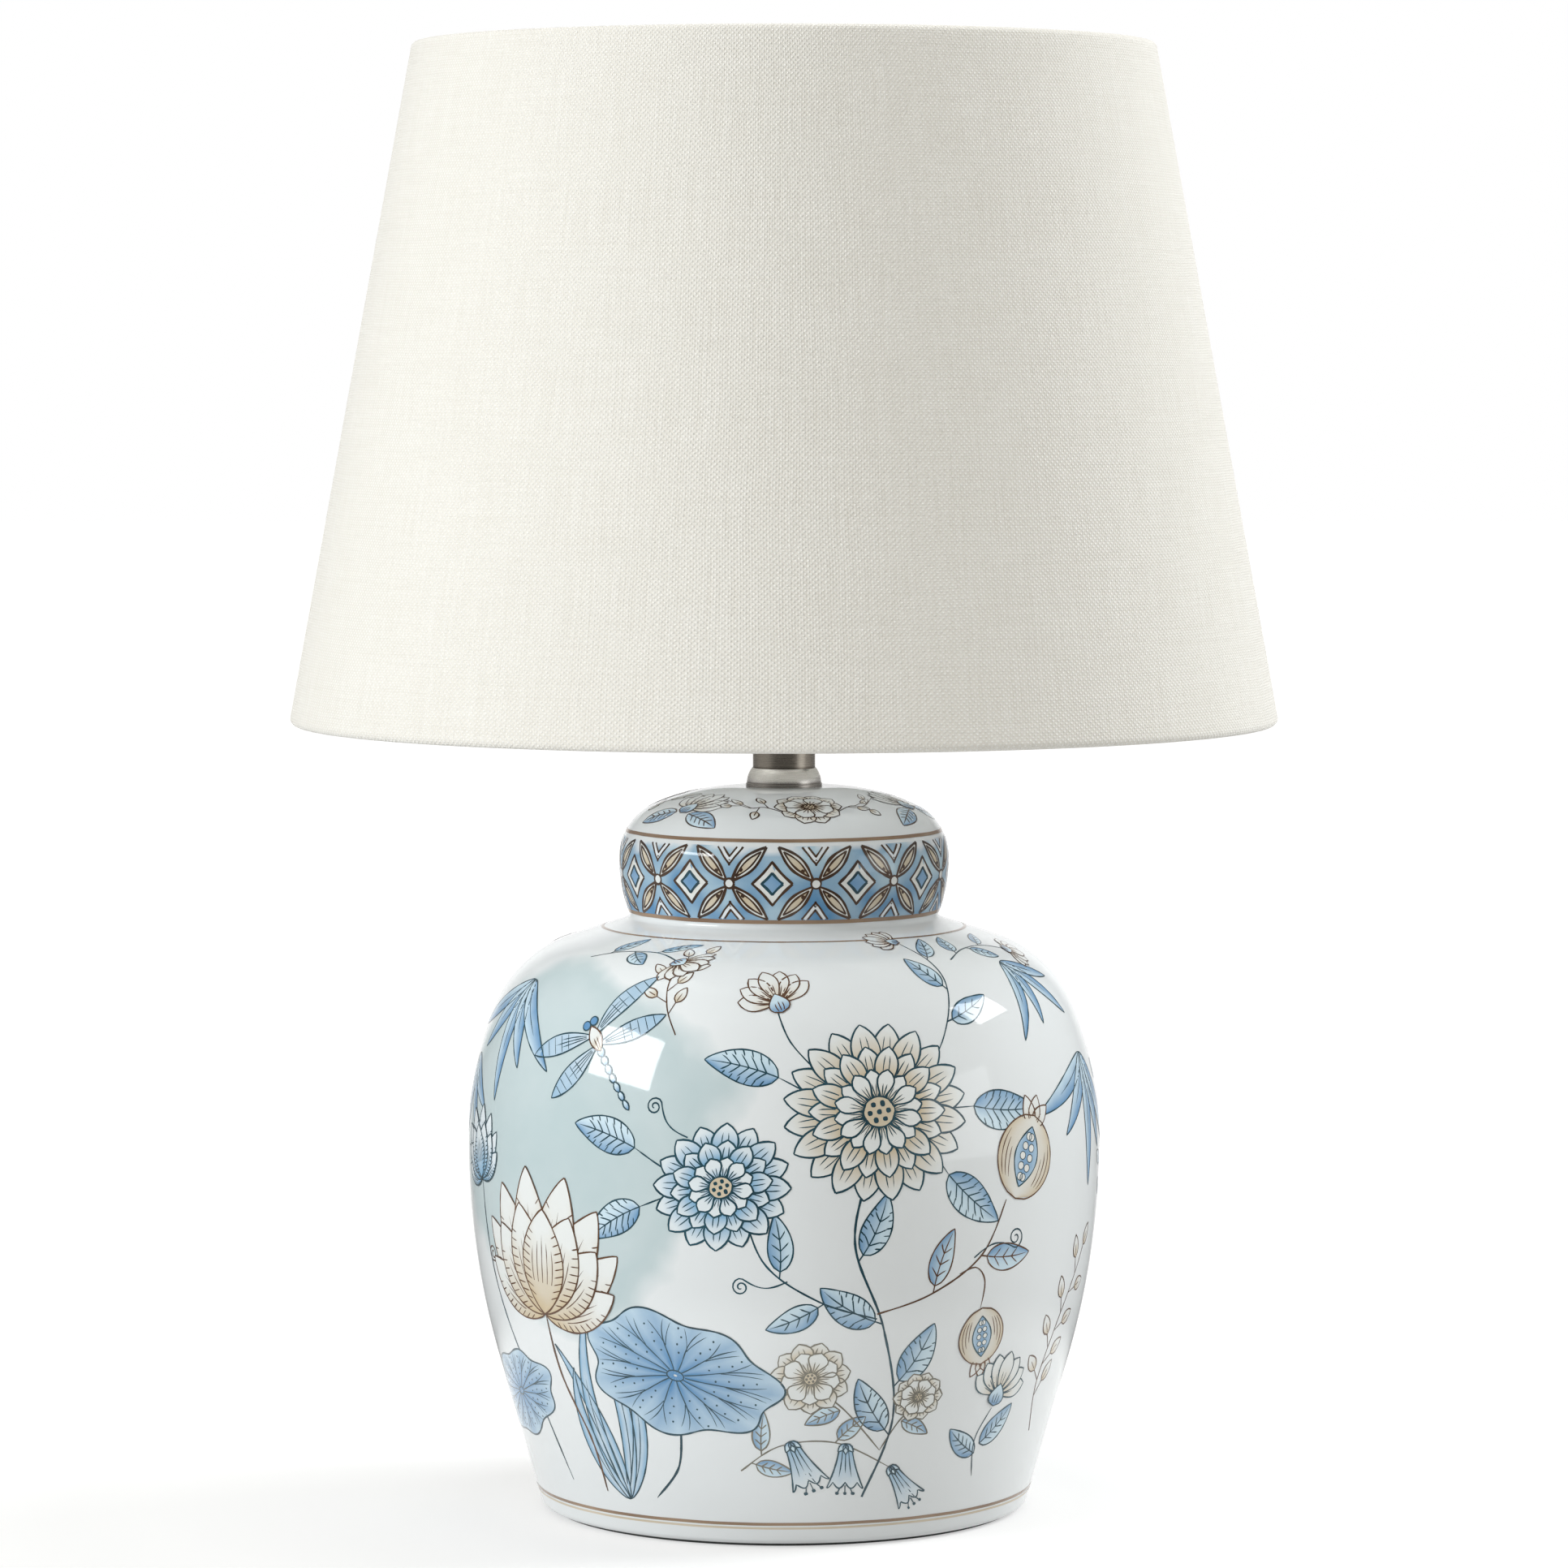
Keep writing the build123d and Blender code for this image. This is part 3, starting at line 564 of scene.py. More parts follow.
class Spot:
    """Flat paper on a turned surface, and the brushes. Angle is from the front, in degrees to the right."""

    def __init__(self, film, angle, length, paper=None):
        self.film = film
        self.angle = angle
        self.length = length
        self.paper = paper or Matrix.Identity(4)

    def moved(self, x, y, turn=0.0, squash=1.0):
        """Paper of a smaller mark: shifted, turned, and squashed across its own y."""
        step = Matrix.Translation((x, y, 0)) @ Matrix.Rotation(radians(turn), 4, "Z")
        squashed = Matrix.Diagonal((1, squash, 1, 1))
        return Spot(self.film, self.angle, self.length, self.paper @ step @ squashed)

    def flat(self, place):
        return (self.paper @ Vector((*place, 0))).xy

    def wrapped(self, right, up, lift):
        """The point of the surface under a point of the paper, lifted off along the normal."""
        radius, height, out, rise = self.film.outline.at((self.length + up) * MM)
        turn = radians(self.angle) + right * MM / radius
        radius += out * lift * MM
        return Vector((radius * sin(turn), -radius * cos(turn), height + rise * lift * MM))

    def fill(self, shape, columns, rows, tones, weight, level):
        """A blotchy wash over a shape, mixed from two tones by a weight."""
        lift = WASH_LIFT + LEVEL_LIFT * level

        def place(a, b):
            return self.wrapped(*self.flat(shape(a, 2 * b - 1)), lift)

        def tint(a, b, where):
            blotch = MOTTLE * noise.noise(where * BLOTCH_SCALE)
            return mixed(*tones, clamped(weight(a, 2 * b - 1) + blotch))

        self.film.lay(self.film.washes, columns, rows, place, tint)

    def stroke(self, path, width, ink, level=0.0, taper=POINTED, step=BRUSH_STEP):
        """A brush line along a path, thinner at its ends, pressed unevenly."""

        def walked(count):
            return [self.flat(path(i / count)) for i in range(count + 1)]

        rough = walked(8)
        count = max(4, ceil(sum((b - a).length for a, b in zip(rough, rough[1:])) / step))
        points = walked(count)
        lift = WASH_LIFT + LINE_LIFT + LEVEL_LIFT * level

        def place(a, b):
            i = round(a * count)
            along = points[min(i + 1, count)] - points[max(i - 1, 0)]
            side = Vector((-along.y, along.x)).normalized()
            ends = min(1, taper[0] + a * TAPER_RATE, taper[1] + (1 - a) * TAPER_RATE)
            pressure = 1 + PRESSURE * noise.noise(Vector((*(points[i] * PRESSURE_SCALE), self.angle)))
            return self.wrapped(*(points[i] + side * (b - 0.5) * width * ends * pressure), lift)

        self.film.lay(self.film.lines, count, 1, place, inked(ink))

    def edges(self, shape, width, ink, level, taper):
        for edge in BOTH:
            self.stroke(side_of(shape, edge), width, ink, level, taper)

    def ring(self, radius, width, ink, level):
        self.stroke(lambda a: around(radius, 360 * a), width, ink, level, EVEN, 0.9)

    def disc(self, radius, tones, share, width, ink, level):
        """A filled round with a line about it."""
        shape = blade(2 * radius, 2 * radius, 0, 1, 0.5, -radius)
        self.fill(shape, 6, 6, tones, lambda a, b: share, level)
        self.ring(radius, width, ink, level)

    def dot(self, radius, ink, level):
        self.stroke(lambda a: ((2 * a - 1) * radius, 0), 2 * radius, ink, level, (0.5, 0.5), radius / 2)


print("paper and brushes ready")

# %% [markdown]
# Two shapes make most of the marks. A blade is a leaf or petal with a width that swells and comes to
# a point; a spline is a smooth path through a few chosen points.


# %% Blades and paths
def blade(length, width, bend=0.0, belly=0.8, point=0.8, start=0.0):
    """Leaf shape: the first value runs from base to tip, the second from -1 to 1 across it."""

    def place(a, b):
        turn = radians(bend) * a
        half = width / 2 * sin(pi * clamped(a) ** belly) ** point
        if bend:
            reach = length / radians(bend)
            x, y = reach * sin(turn), reach * (1 - cos(turn))
        else:
            x, y = length * a, 0.0
        return start + x - half * b * sin(turn), y + half * b * cos(turn)

    return place


def eased(t, p, q, r, s):
    """Smooth value between q and r, with p before them and s after."""
    return q + t * (r - p + t * (2 * p - 5 * q + 4 * r - s + t * (3 * (q - r) + s - p))) / 2


def spline(*points):
    """Smooth path through points."""
    last = len(points) - 1

    def path(a):
        i = min(int(a * last), last - 1)
        near = [points[min(max(k, 0), last)] for k in range(i - 1, i + 3)]
        return tuple(eased(a * last - i, *four) for four in zip(*near))

    return path


def side_of(shape, b, start=0.0, end=1.0):
    """The path along a blade at one place across it."""
    return lambda a: shape(start + (end - start) * a, b)


def heading(path, t):
    before, after = path(max(t - 0.01, 0)), path(min(t + 0.01, 1))
    return degrees(atan2(after[1] - before[1], after[0] - before[0]))


WHITE = colour_of(221, 225, 228)
BLUES = (colour_of(198, 218, 229), colour_of(62, 124, 174))
SKIES = (colour_of(217, 225, 229), colour_of(110, 162, 198))
SANDS = (colour_of(222, 225, 224), colour_of(196, 178, 146))
TEAL = (colour_of(20, 46, 56), colour_of(52, 86, 98))
BROWN = (colour_of(62, 40, 28), colour_of(112, 80, 56))
FAINT = (colour_of(92, 88, 76), colour_of(136, 132, 120))
SEPIA = (colour_of(40, 30, 25), colour_of(86, 64, 48))
FINE = 0.6
HAIR = FINE * 0.7
VEIN = FINE * 0.85
MEDIUM = FINE * 1.2
BOLD = 0.95
LEAF_BELLY = 0.75
COMBED_LEAF = 24


def paler_outwards(a, b):
    return 0.95 - 1.5 * a


def darker_half(a, b):
    return 0.5 + 0.45 * b - 0.3 * sin(pi * a)


def petal(
    spot, length, width, bend, belly, tones, ink, level,
    hatch=3, weight=paler_outwards, line=FINE, comb=0, root=0.12,
):
    """One petal or leaf: a wash, two edges, a few lines from the base and ticks inside the edges."""
    shape = blade(length, width, bend, belly)
    spot.fill(shape, max(5, ceil(length / 3)), max(3, ceil(width / 3)), tones, weight, level)
    spot.edges(shape, line, ink, level, BLUNT)
    for i in range(hatch):
        across = (i + 1) / (hatch + 1) * 1.5 - 0.75
        end = 0.5 + root - 0.5 * root * root - 0.25 * abs(across)
        spot.stroke(side_of(shape, across, root, end), HAIR, ink, level, (0.9, 0.1))
    for i in range(comb):
        foot = 0.2 + 0.66 * i / comb
        for edge in BOTH:
            spot.stroke(lambda a: shape(foot - 0.04 * a, edge * (1 - 0.4 * a)), VEIN, ink, level, (1, 0.1))


def leaf(spot, length, width, bend=0.0, tones=BLUES, ink=TEAL, veins=4, level=0.0):
    """A leaf with a midrib and side veins, darker along one half."""
    comb = 6 if length > COMBED_LEAF else 0
    petal(spot, length, width, bend, LEAF_BELLY, tones, ink, level, 0, darker_half, FINE, comb)
    shape = blade(length, width, bend, LEAF_BELLY)
    level += 0.3
    spot.stroke(side_of(shape, 0, 0, 0.92), VEIN, ink, level, (1, 0.2))
    for i in range(veins):
        foot = 0.16 + 0.6 * i / veins
        for edge in BOTH:
            spot.stroke(lambda a: shape(foot + 0.14 * a, edge * 0.72 * a), VEIN, ink, level, (1, 0.05))


def stem(spot, path, width, ink, *leaves):
    """A stem with leaves, each given as where it sits, its angle off the stem, length, width and bend."""
    spot.stroke(path, width, ink, 0, (1, 0.5))
    for t, angle, length, wide, bend in leaves:
        here = spot.moved(*path(t), heading(path, t) + angle)
        here.stroke(lambda a: (length * 0.12 * a, 0), FINE, ink, 0, EVEN, 0.6)
        leaf(here.moved(length * 0.12, 0), length, wide, bend, BLUES, ink, 3, 0.2)


print("petals, leaves and stems ready")

# %% [markdown]
# The flowers are the common stock of blue-and-white porcelain: chrysanthemums with rings of narrow
# petals, lotuses with cupped ones and broad leaves, pomegranates, bellflowers, bamboo, buds, curling
# tendrils and a dragonfly. Marks that lie over others get a higher level.

# %% Flowers
BIG_FLOWER = 25
BACK_PETALS = ((62, 0.94, 0.34), (38, 1.04, 0.4), (14, 1.1, 0.42))
FRONT_PETALS = ((82, 0.76, 0.32), (52, 0.8, 0.4), (24, 0.84, 0.44), (0, 0.8, 0.46))
LEAF_RIBS = 14
STALK = 0.4
COIL_TURNS = 1.6


def chrysanthemum(spot, radius, petals, tones, ink, rings=3, level=2):
    """Rings of narrow petals, each ring shorter than the last and turned by half a step."""
    line = FINE * 1.3 if radius > BIG_FLOWER else FINE
    heart = radius * 0.1
    for ring in range(rings):
        reach = radius * (1 - 0.26 * ring)
        count = petals - 2 * ring
        wide = 2 * pi * reach / count * 0.98
        root = 0.15 if ring == rings - 1 else 0.56
        for i in range(count):
            here = spot.moved(0, 0, 360 * (i + 0.5 * (ring % 2)) / count).moved(heart, 0)
            height = level + 2 * ring + i % 2
            shading = (2, lambda a, b: 0.85 - 2.5 * (a - root), line, 0, root)
            petal(here, reach - heart, wide, 0, 1.7, tones, ink, height, *shading)
    top = level + 2 * rings
    spot.disc(radius * 0.17, SANDS, 0.8, FINE, ink, top)
    for i in range(7):
        seed = spot.moved(*around(heart if i else 0, 60 * i))
        seed.dot(radius * 0.022 + 0.15, ink, top + 0.5)


def daisy_side(spot, radius, tones, ink, level=2):
    """A half-open chrysanthemum seen from the side: a fan of petals over a blue cup."""
    for i, angle in enumerate((-66, -44, -22, 66, 44, 22, 0)):
        reach = radius * (1 - 0.1 * abs(angle) / 66)
        petal(spot.moved(0, 0, angle), reach, radius * 0.42, 0, 1.5, tones, ink, level + 0.6 * i, 2)
    petal(spot.moved(-radius * 0.22, 0), radius * 0.5, radius * 0.46, 0, 0.7, BLUES, ink, level + 5)


def lotus(spot, size, tones, ink, level):
    """Cupped petals with long points, in pairs from the outside in: a back row, then a front row."""
    shading = (5, lambda a, b: 1.0 - 1.3 * a + 0.3 * abs(b) ** 3, FINE * 1.15, 9, 0.3)
    step = 0.0
    for lean, length, width in BACK_PETALS + FRONT_PETALS:
        for angle in sorted({-lean, lean}):
            form = (size * length, size * width, -angle * 0.35, 0.95)
            petal(spot.moved(0, 0, angle), *form, tones, ink, level + step, *shading)
            step += 0.7


def pomegranate(spot, radius, level=2):
    """A round fruit with a crown, split to show its seeds."""
    for angle in (-34, 34, 0):
        tip = spot.moved(radius * 1.75, 0, angle)
        petal(tip, radius * 0.75, radius * 0.42, 0, 0.8, SANDS, BROWN, level, 1)
    fruit = blade(2 * radius, 1.9 * radius, 0, 1, 0.5)
    spot.fill(fruit, 10, 10, SANDS, lambda a, b: 0.25 + 0.6 * b * b, level + 1)
    for edge in BOTH:
        spot.stroke(side_of(fruit, edge), FINE, BROWN, level + 1, EVEN)
        for i in range(3):
            crease = side_of(fruit, edge * (0.86 - 0.14 * i), 0.2, 0.75 - 0.1 * i)
            spot.stroke(crease, HAIR, BROWN, level + 1)
    split = blade(1.45 * radius, 0.8 * radius, 0, 1, 0.9, radius * 0.28)
    spot.fill(split, 8, 5, BLUES, lambda a, b: 0.75 - 0.4 * abs(b), level + 2)
    spot.edges(split, FINE, TEAL, level + 2, BLUNT)
    for i in range(5):
        for side in BOTH:
            seed = spot.moved(radius * (0.52 + 0.24 * i), radius * 0.13 * side * sin(pi * (i + 0.7) / 5.4))
            seed.disc(radius * 0.095, SANDS, 0.1, FINE * 0.6, TEAL, level + 2.4)


def bellflower(spot, size, level=2):
    """A hanging bell with a scalloped mouth and three stamens."""

    def bell(a, b):
        return size * a * (1 + 0.16 * abs(sin(1.5 * pi * b))), size * b * (0.16 + 0.3 * a**1.6)

    for i in (-1, 0, 1):
        tip = (size * 1.3, size * 0.2 * i)
        stamen = spline((size * 0.8, size * 0.08 * i), (size * 1.12, size * 0.12 * i), tip)
        spot.stroke(stamen, HAIR, TEAL, level)
        spot.moved(*tip).dot(size * 0.035 + 0.1, TEAL, level)
    spot.fill(bell, 7, 9, SKIES, lambda a, b: 0.9 - 0.9 * a, level + 0.5)
    spot.edges(bell, FINE, TEAL, level + 0.5, EVEN)
    spot.stroke(lambda a: bell(1, 2 * a - 1), FINE, TEAL, level + 0.5, EVEN, 0.8)
    for b in (-0.45, 0, 0.45):
        spot.stroke(side_of(bell, b, 0.1, 0.75), HAIR, TEAL, level + 0.5, (1, 0.2))
    for angle in (-40, 40, 0):
        cup = spot.moved(-size * 0.06, 0, angle)
        petal(cup, size * 0.3, size * 0.14, 0, 0.8, BLUES, TEAL, level + 1.2, 0)


def bud_sprig(spot, path, buds, size, tones, ink):
    """A thin stalk with pointed buds to both sides and one at its end."""
    spot.stroke(path, FINE * 0.9, ink, 0, (1, 0.6))
    for i in range(buds):
        t = 0.25 + 0.75 * i / (buds - 1)
        angle = 0 if i == buds - 1 else (46 if i % 2 else -46)
        here = spot.moved(*path(t), heading(path, t) + angle)
        here.stroke(lambda a: (size * 0.7 * a, 0), HAIR, ink, 0, EVEN, 0.6)
        petal(here.moved(size * 0.7, 0), size, size * 0.55, 0, 0.8, tones, ink, 0.2, 1)


def bamboo(spot, length, *angles):
    """Narrow leaves that spread from one joint."""
    for i, angle in enumerate(angles):
        size = length * (1 - 0.22 * (i % 2))
        form = (size, length * 0.16, 14 if angle > 0 else -14, 0.75)
        tone = (1, lambda a, b: 0.35 + 0.4 * b + 0.25 * a)
        petal(spot.moved(0, 0, angle), *form, BLUES, TEAL, 0.5 * i, *tone)


def tendril(spot, length, ink, flip):
    """A stalk that ends in a shrinking coil."""

    def path(a):
        if a < STALK:
            return length * a / STALK, flip * length * 0.18 * sin(pi * a / STALK)
        share = (a - STALK) / (1 - STALK)
        x, y = around(length * 0.2 * (1 - 0.85 * share), -90 + 360 * COIL_TURNS * share)
        return length + x, flip * (length * 0.2 + y)

    spot.stroke(path, FINE, ink, 0, (1, 0.5), 1.0)


def dragonfly(spot, size, level=2):
    """Four veined wings, a jointed body and two round eyes."""
    for angle, length, bend in ((64, 1.0, 12), (-64, 1.0, -12), (106, 0.9, -10), (-106, 0.9, 10)):
        here = spot.moved(size * (0.06 if abs(angle) < 90 else -0.06), 0, angle)
        form = (size * length, size * 0.24, bend, 1.2)
        petal(here, *form, SKIES, TEAL, level, 3, lambda a, b: 0.25 + 0.45 * a)
        wing = blade(*form)
        for i in range(5):
            here.stroke(lambda a: wing(0.4 + 0.11 * i, 1.7 * a - 0.85), FINE * 0.55, TEAL, level, BLUNT)
    for i in range(8):
        joint = spot.moved(-size * (0.12 + 0.125 * i), 0)
        petal(joint, size * 0.15, size * (0.1 - 0.005 * i), 0, 1, BLUES, TEAL, level + 1 + 0.5 * (i % 2), 0)
    petal(spot.moved(-size * 0.16, 0), size * 0.36, size * 0.17, 0, 1, SANDS, BROWN, level + 2, 2)
    for side in BOTH:
        eye = spot.moved(size * 0.24, side * size * 0.055)
        eye.disc(size * 0.055, BLUES, 0.9, FINE, TEAL, level + 3)


def lotus_leaf(spot, radius, level):
    """A broad round leaf with a wavy edge, seen tilted, with veins from its middle."""

    def edge(a):
        return radius * (1 + 0.07 * sin(2 * pi * 7 * a) + 0.04 * sin(2 * pi * 3 * a + 1))

    def face(a, b):
        return around(edge(a) * (0.02 + 0.98 * ((b + 1) / 2)), 360 * a)

    def tone(a, b):
        return 0.95 - 0.32 * (b + 1) + 0.12 * sin(2 * pi * LEAF_RIBS * a)

    thin = (TEAL, level, (1, 0.2))
    spot.fill(face, 56, 8, BLUES, tone, level)
    spot.stroke(lambda a: around(edge(a), 360 * a), MEDIUM, TEAL, level, EVEN, 1.2)
    for i in range(LEAF_RIBS):
        turn = 360 * i / LEAF_RIBS
        rim = edge(i / LEAF_RIBS)
        spot.stroke(lambda a: around(rim * (0.1 + 0.84 * a), turn + 5 * sin(3 * a)), FINE * 0.8, *thin)
        for side in (-8, 8):
            spot.stroke(lambda a: around(rim * (0.5 + 0.4 * a), turn + 4 + side * a), FINE * 0.6, *thin)
        for j in range(4):
            speck = around(radius * (0.42 + 0.14 * j), turn + 13 + 3 * (j % 2))
            spot.moved(*speck).dot(0.4, TEAL, level)
    spot.ring(radius * 0.09, FINE, TEAL, level + 0.5)


print("flowers ready")

# %% [markdown]
# The garden on the jar is one panel of half a turn, laid on the front and again on the back, where
# the hole for the flex takes the place of the bellflowers. Places are given as degrees from the
# panel's middle and millimetres up the outline from the foot.

# %% Garden on the jar
jar_paint = Film(jar_side)
DEGREE = radians(1) * BELLY_RADIUS / MM
FAN_LEAVES = (
    ((17, 178), 36, 178, -14, 34),
    ((17, 178), 30, 152, -48, 32),
    ((17, 178), -1, 192, 158, 30),
    ((-11, 149), -26, 140, -158, 28),
    ((-11, 149), -27, 163, 156, 30),
)


def garden(center, bells):
    """One panel, with its middle at an angle from the front."""

    def at(angle, length, turn=0.0, squash=1.0):
        return Spot(jar_paint, center + angle, length).moved(0, 0, turn, squash)

    vine = spline((0, -158), (10, -124), (3, -86), (-10, -52), (-5, -22), (0, 0))
    low_leaves = ((0.16, 52, 26, 12, -20), (0.27, -50, 27, 13, 20))
    stem(at(17, 178), vine, BOLD, TEAL, *low_leaves, (0.41, 52, 27, 13, -24), (0.56, -52, 26, 12, 24))
    left = spline((0, 0), (-24, 8), (-46, 24), (-56, 52))
    stem(at(17, 96), left, MEDIUM, TEAL, (0.3, 58, 22, 10, -20), (0.55, -55, 23, 10, 20))
    right = spline((0, 0), (23, 7), (46, 21), (58, 42))
    stem(at(17, 98), right, MEDIUM, BROWN, (0.34, 55, 24, 10, -20), (0.66, -55, 24, 11, 20))
    at(33, 112).stroke(spline((0, 0), (8, 2), (13, -4), (12, -15)), FINE, BROWN)
    rising = spline((0, 0), (16, 20), (24, 46), (16, 74))
    top_leaves = ((0.42, -48, 22, 10, 15), (0.6, 48, 21, 9, -15), (0.8, -42, 18, 8, 15))
    stem(at(24, 186), rising, FINE, TEAL, *top_leaves)
    at(8, 190).stroke(spline((0, 0), (-14, 16), (-19, 32)), FINE, TEAL)

    for heart, angle, length, turn, size in FAN_LEAVES:
        across = (heart[0] - angle) * DEGREE
        up = heart[1] - length
        at(angle, length).stroke(spline((across, up), (across * 0.5, up * 0.7), (0, 0)), FINE, TEAL)
        leaf(at(angle, length, turn), size, size * 0.46, 18, veins=5)
    chrysanthemum(at(17, 178, 8, 0.92), 38, 20, SANDS, TEAL)
    chrysanthemum(at(-11, 149, 20, 0.88), 28, 16, SKIES, TEAL)
    daisy_side(at(-1, 222, 112), 18, SANDS, BROWN)
    daisy_side(at(34, 262, 150), 12, SANDS, BROWN)
    pomegranate(at(45, 140, 68), 17)
    pomegranate(at(39, 97, -82), 12)

    for turn, size, bend in ((118, 86, -48), (98, 70, 30), (74, 92, 44), (58, 66, 52), (136, 60, -56)):
        form = (size, 6.5, bend, 0.7)
        tone = (1, lambda a, b: 0.3 + 0.5 * b * b + 0.3 * a)
        petal(at(-36, 16, turn), *form, SKIES, TEAL, turn / 58 - 1, *tone)
    lotus_leaf(at(-21, 72, -14, 0.6), 40, 3)
    lotus_leaf(at(-68, 54, 16, 0.55), 31, 1)
    lotus(at(-50, 92, 84), 54, SANDS, BROWN, 3)
    lotus(at(-70, 142, 104), 27, SKIES, TEAL, 2)
    at(-50, 92).stroke(spline((0, 0), (3, -26), (12, -52), (14, -74)), BOLD, BROWN, 2.4)
    at(-70, 142).stroke(spline((0, 0), (5, -40), (20, -84), (30, -122)), BOLD, TEAL)
    at(-21, 72).stroke(spline((0, -22), (-3, -40), (-14, -54)), BOLD, TEAL)
    dragonfly(at(-38, 204, 128), 34)

    bamboo(at(-66, 226, -100), 52, -44, -20, 4, 26, 48)
    bamboo(at(-82, 190, -80), 44, -36, -12, 14, 36)
    bamboo(at(74, 192, -106), 54, -44, -20, 4, 26, 46)
    bamboo(at(60, 238, -70), 40, -36, -10, 16, 40)
    garland = spline((0, 0), (14, 7), (30, 8), (46, 1))
    small_leaves = ((0.2, 50, 15, 7, -15), (0.42, -52, 15, 7, 15), (0.64, 52, 14, 6, -15))
    for angle, droop in ((-54, 22), (44, 26)):
        stem(at(angle, 243), garland, FINE, TEAL, *small_leaves)
        daisy_side(at(angle, 243).moved(46, 1, -droop), 13, SANDS, BROWN)

    for path in (((0, 0), (-16, 18), (-31, 30)), ((0, 0), (7, 12), (15, 20))):
        at(19.9, 40).stroke(spline(*path), FINE, FAINT)
    chrysanthemum(at(5, 72, 10, 0.95), 16, 11, SANDS, FAINT, 2, 1)
    chrysanthemum(at(27, 62, 0, 0.95), 11, 10, SANDS, FAINT, 2, 1)
    leaf(at(11, 58, 196), 15, 7, 15, BLUES, FAINT, 3)
    leaf(at(24, 52, -20), 14, 6.5, -15, BLUES, FAINT, 3)
    if bells:
        spray = spline((0, 0), (16, 11), (38, 12), (60, 0))
        spray_leaves = ((0.2, 55, 17, 7, -15), (0.66, 60, 15, 7, -15), (0.12, -60, 15, 7, 15))
        stem(at(-9, 32), spray, FINE, FAINT, *spray_leaves)
        for t, angle, size in ((0.4, -80, 17), (0.72, -70, 16), (1.0, -30, 15)):
            bellflower(at(-9, 32).moved(*spray(t), heading(spray, t) + angle), size)
    bud_sprig(at(64, 38), spline((0, 0), (-6, 22), (0, 46), (14, 70)), 9, 10, SANDS, BROWN)
    bud_sprig(at(-21, 208), spline((0, 0), (-6, 12), (-8, 26), (-2, 40)), 7, 8, SANDS, BROWN)
    bud_sprig(at(84, 100), spline((0, 0), (6, 26), (2, 52), (8, 78)), 9, 10, SKIES, TEAL)
    daisy_side(at(47, 58, 78), 19, SANDS, TEAL)
    at(47, 58).stroke(spline((-1, -5), (-7, -18), (-4, -34)), FINE, TEAL)
    leaf(at(45, 38, 34), 22, 10, 20)
    leaf(at(44, 34, 152), 20, 9, -20)
    tendril(at(0.6, 112, 176), 18, TEAL, 1)
    tendril(at(36, 118, 5), 22, TEAL, 1)
    tendril(at(-61, 100, 150), 18, BROWN, -1)
    tendril(at(-17, 168, 130), 18, TEAL, 1)


garden(0, True)
garden(180, False)
STRIPE_BROWN = (colour_of(112, 86, 66), colour_of(160, 134, 108))
STRIPE_SAND = (colour_of(188, 172, 146), colour_of(210, 198, 178))
jar_paint.stripe(8.9, 1.3, STRIPE_BROWN)
jar_paint.stripe(7.1, 0.9, STRIPE_SAND)
jar_paint.stripe(jar_side.length / MM - 11.5, 1.2, STRIPE_BROWN)
jar_paint.dry("jar_paint", Vector((0, 0, BELLY_Z)))

# %% [markdown]
# The lid wears a lattice band: quatrefoils of lens-shaped petals and framed diamonds in turn, twelve
# of each, on a blue ground between two brown lines. Small sprigs lie on its dome.

# %% Lattice and sprigs on the lid
BAND_LOW = 1.8
BAND_HIGH = 32.0
BAND_MIDDLE = (BAND_LOW + BAND_HIGH) / 2
BAND_BLUES = (colour_of(178, 202, 214), colour_of(80, 132, 174))
BAND_ROWS = 14
FIRST_DIAMOND = -4
REPEATS = 12
SPRIGS = 6
SPRIG_LENGTH = 54
CHEVRON_END = 14.7
CHEVRONS = ((8.2, 0.9, SEPIA, 0.4), (9.7, 1.2, (WHITE, WHITE), 0.8), (11.2, 0.8, SEPIA, 1.2))
lid_paint = Film(lid_side)


def band_place(a, b):
    return Spot(lid_paint, 360 * a, BAND_LOW + (BAND_HIGH - BAND_LOW) * b).wrapped(0, 0, WASH_LIFT)


def band_tint(a, b, where):
    """A mottled ground, paler towards its top, where it stops unevenly."""
    ground = mixed(*BAND_BLUES, clamped(0.62 - 0.3 * b + 0.75 * noise.noise(where * 85)))
    bare = (b - 0.9 + 0.16 * noise.noise(where * 140)) / 0.08
    return mixed(ground, WHITE, clamped(bare))


def diamond(spot, width, height, tones, share, ink, level):
    """A filled diamond whose sides bow in a little."""
    points = ((width, 0), (0, height), (-width, 0), (0, -height), (width, 0))

    def rim(a):
        i = min(int(a * 4), 3)
        t = a * 4 - i
        bow = 1 - 0.06 * sin(pi * t)
        return tuple(bow * (p + (q - p) * t) for p, q in zip(points[i], points[i + 1]))

    spot.fill(lambda a, b: tuple(v * (b + 1) / 2 for v in rim(a)), 16, 3, tones, lambda a, b: share, level)
    spot.stroke(rim, FINE * 1.75, ink, level, EVEN, 0.5)


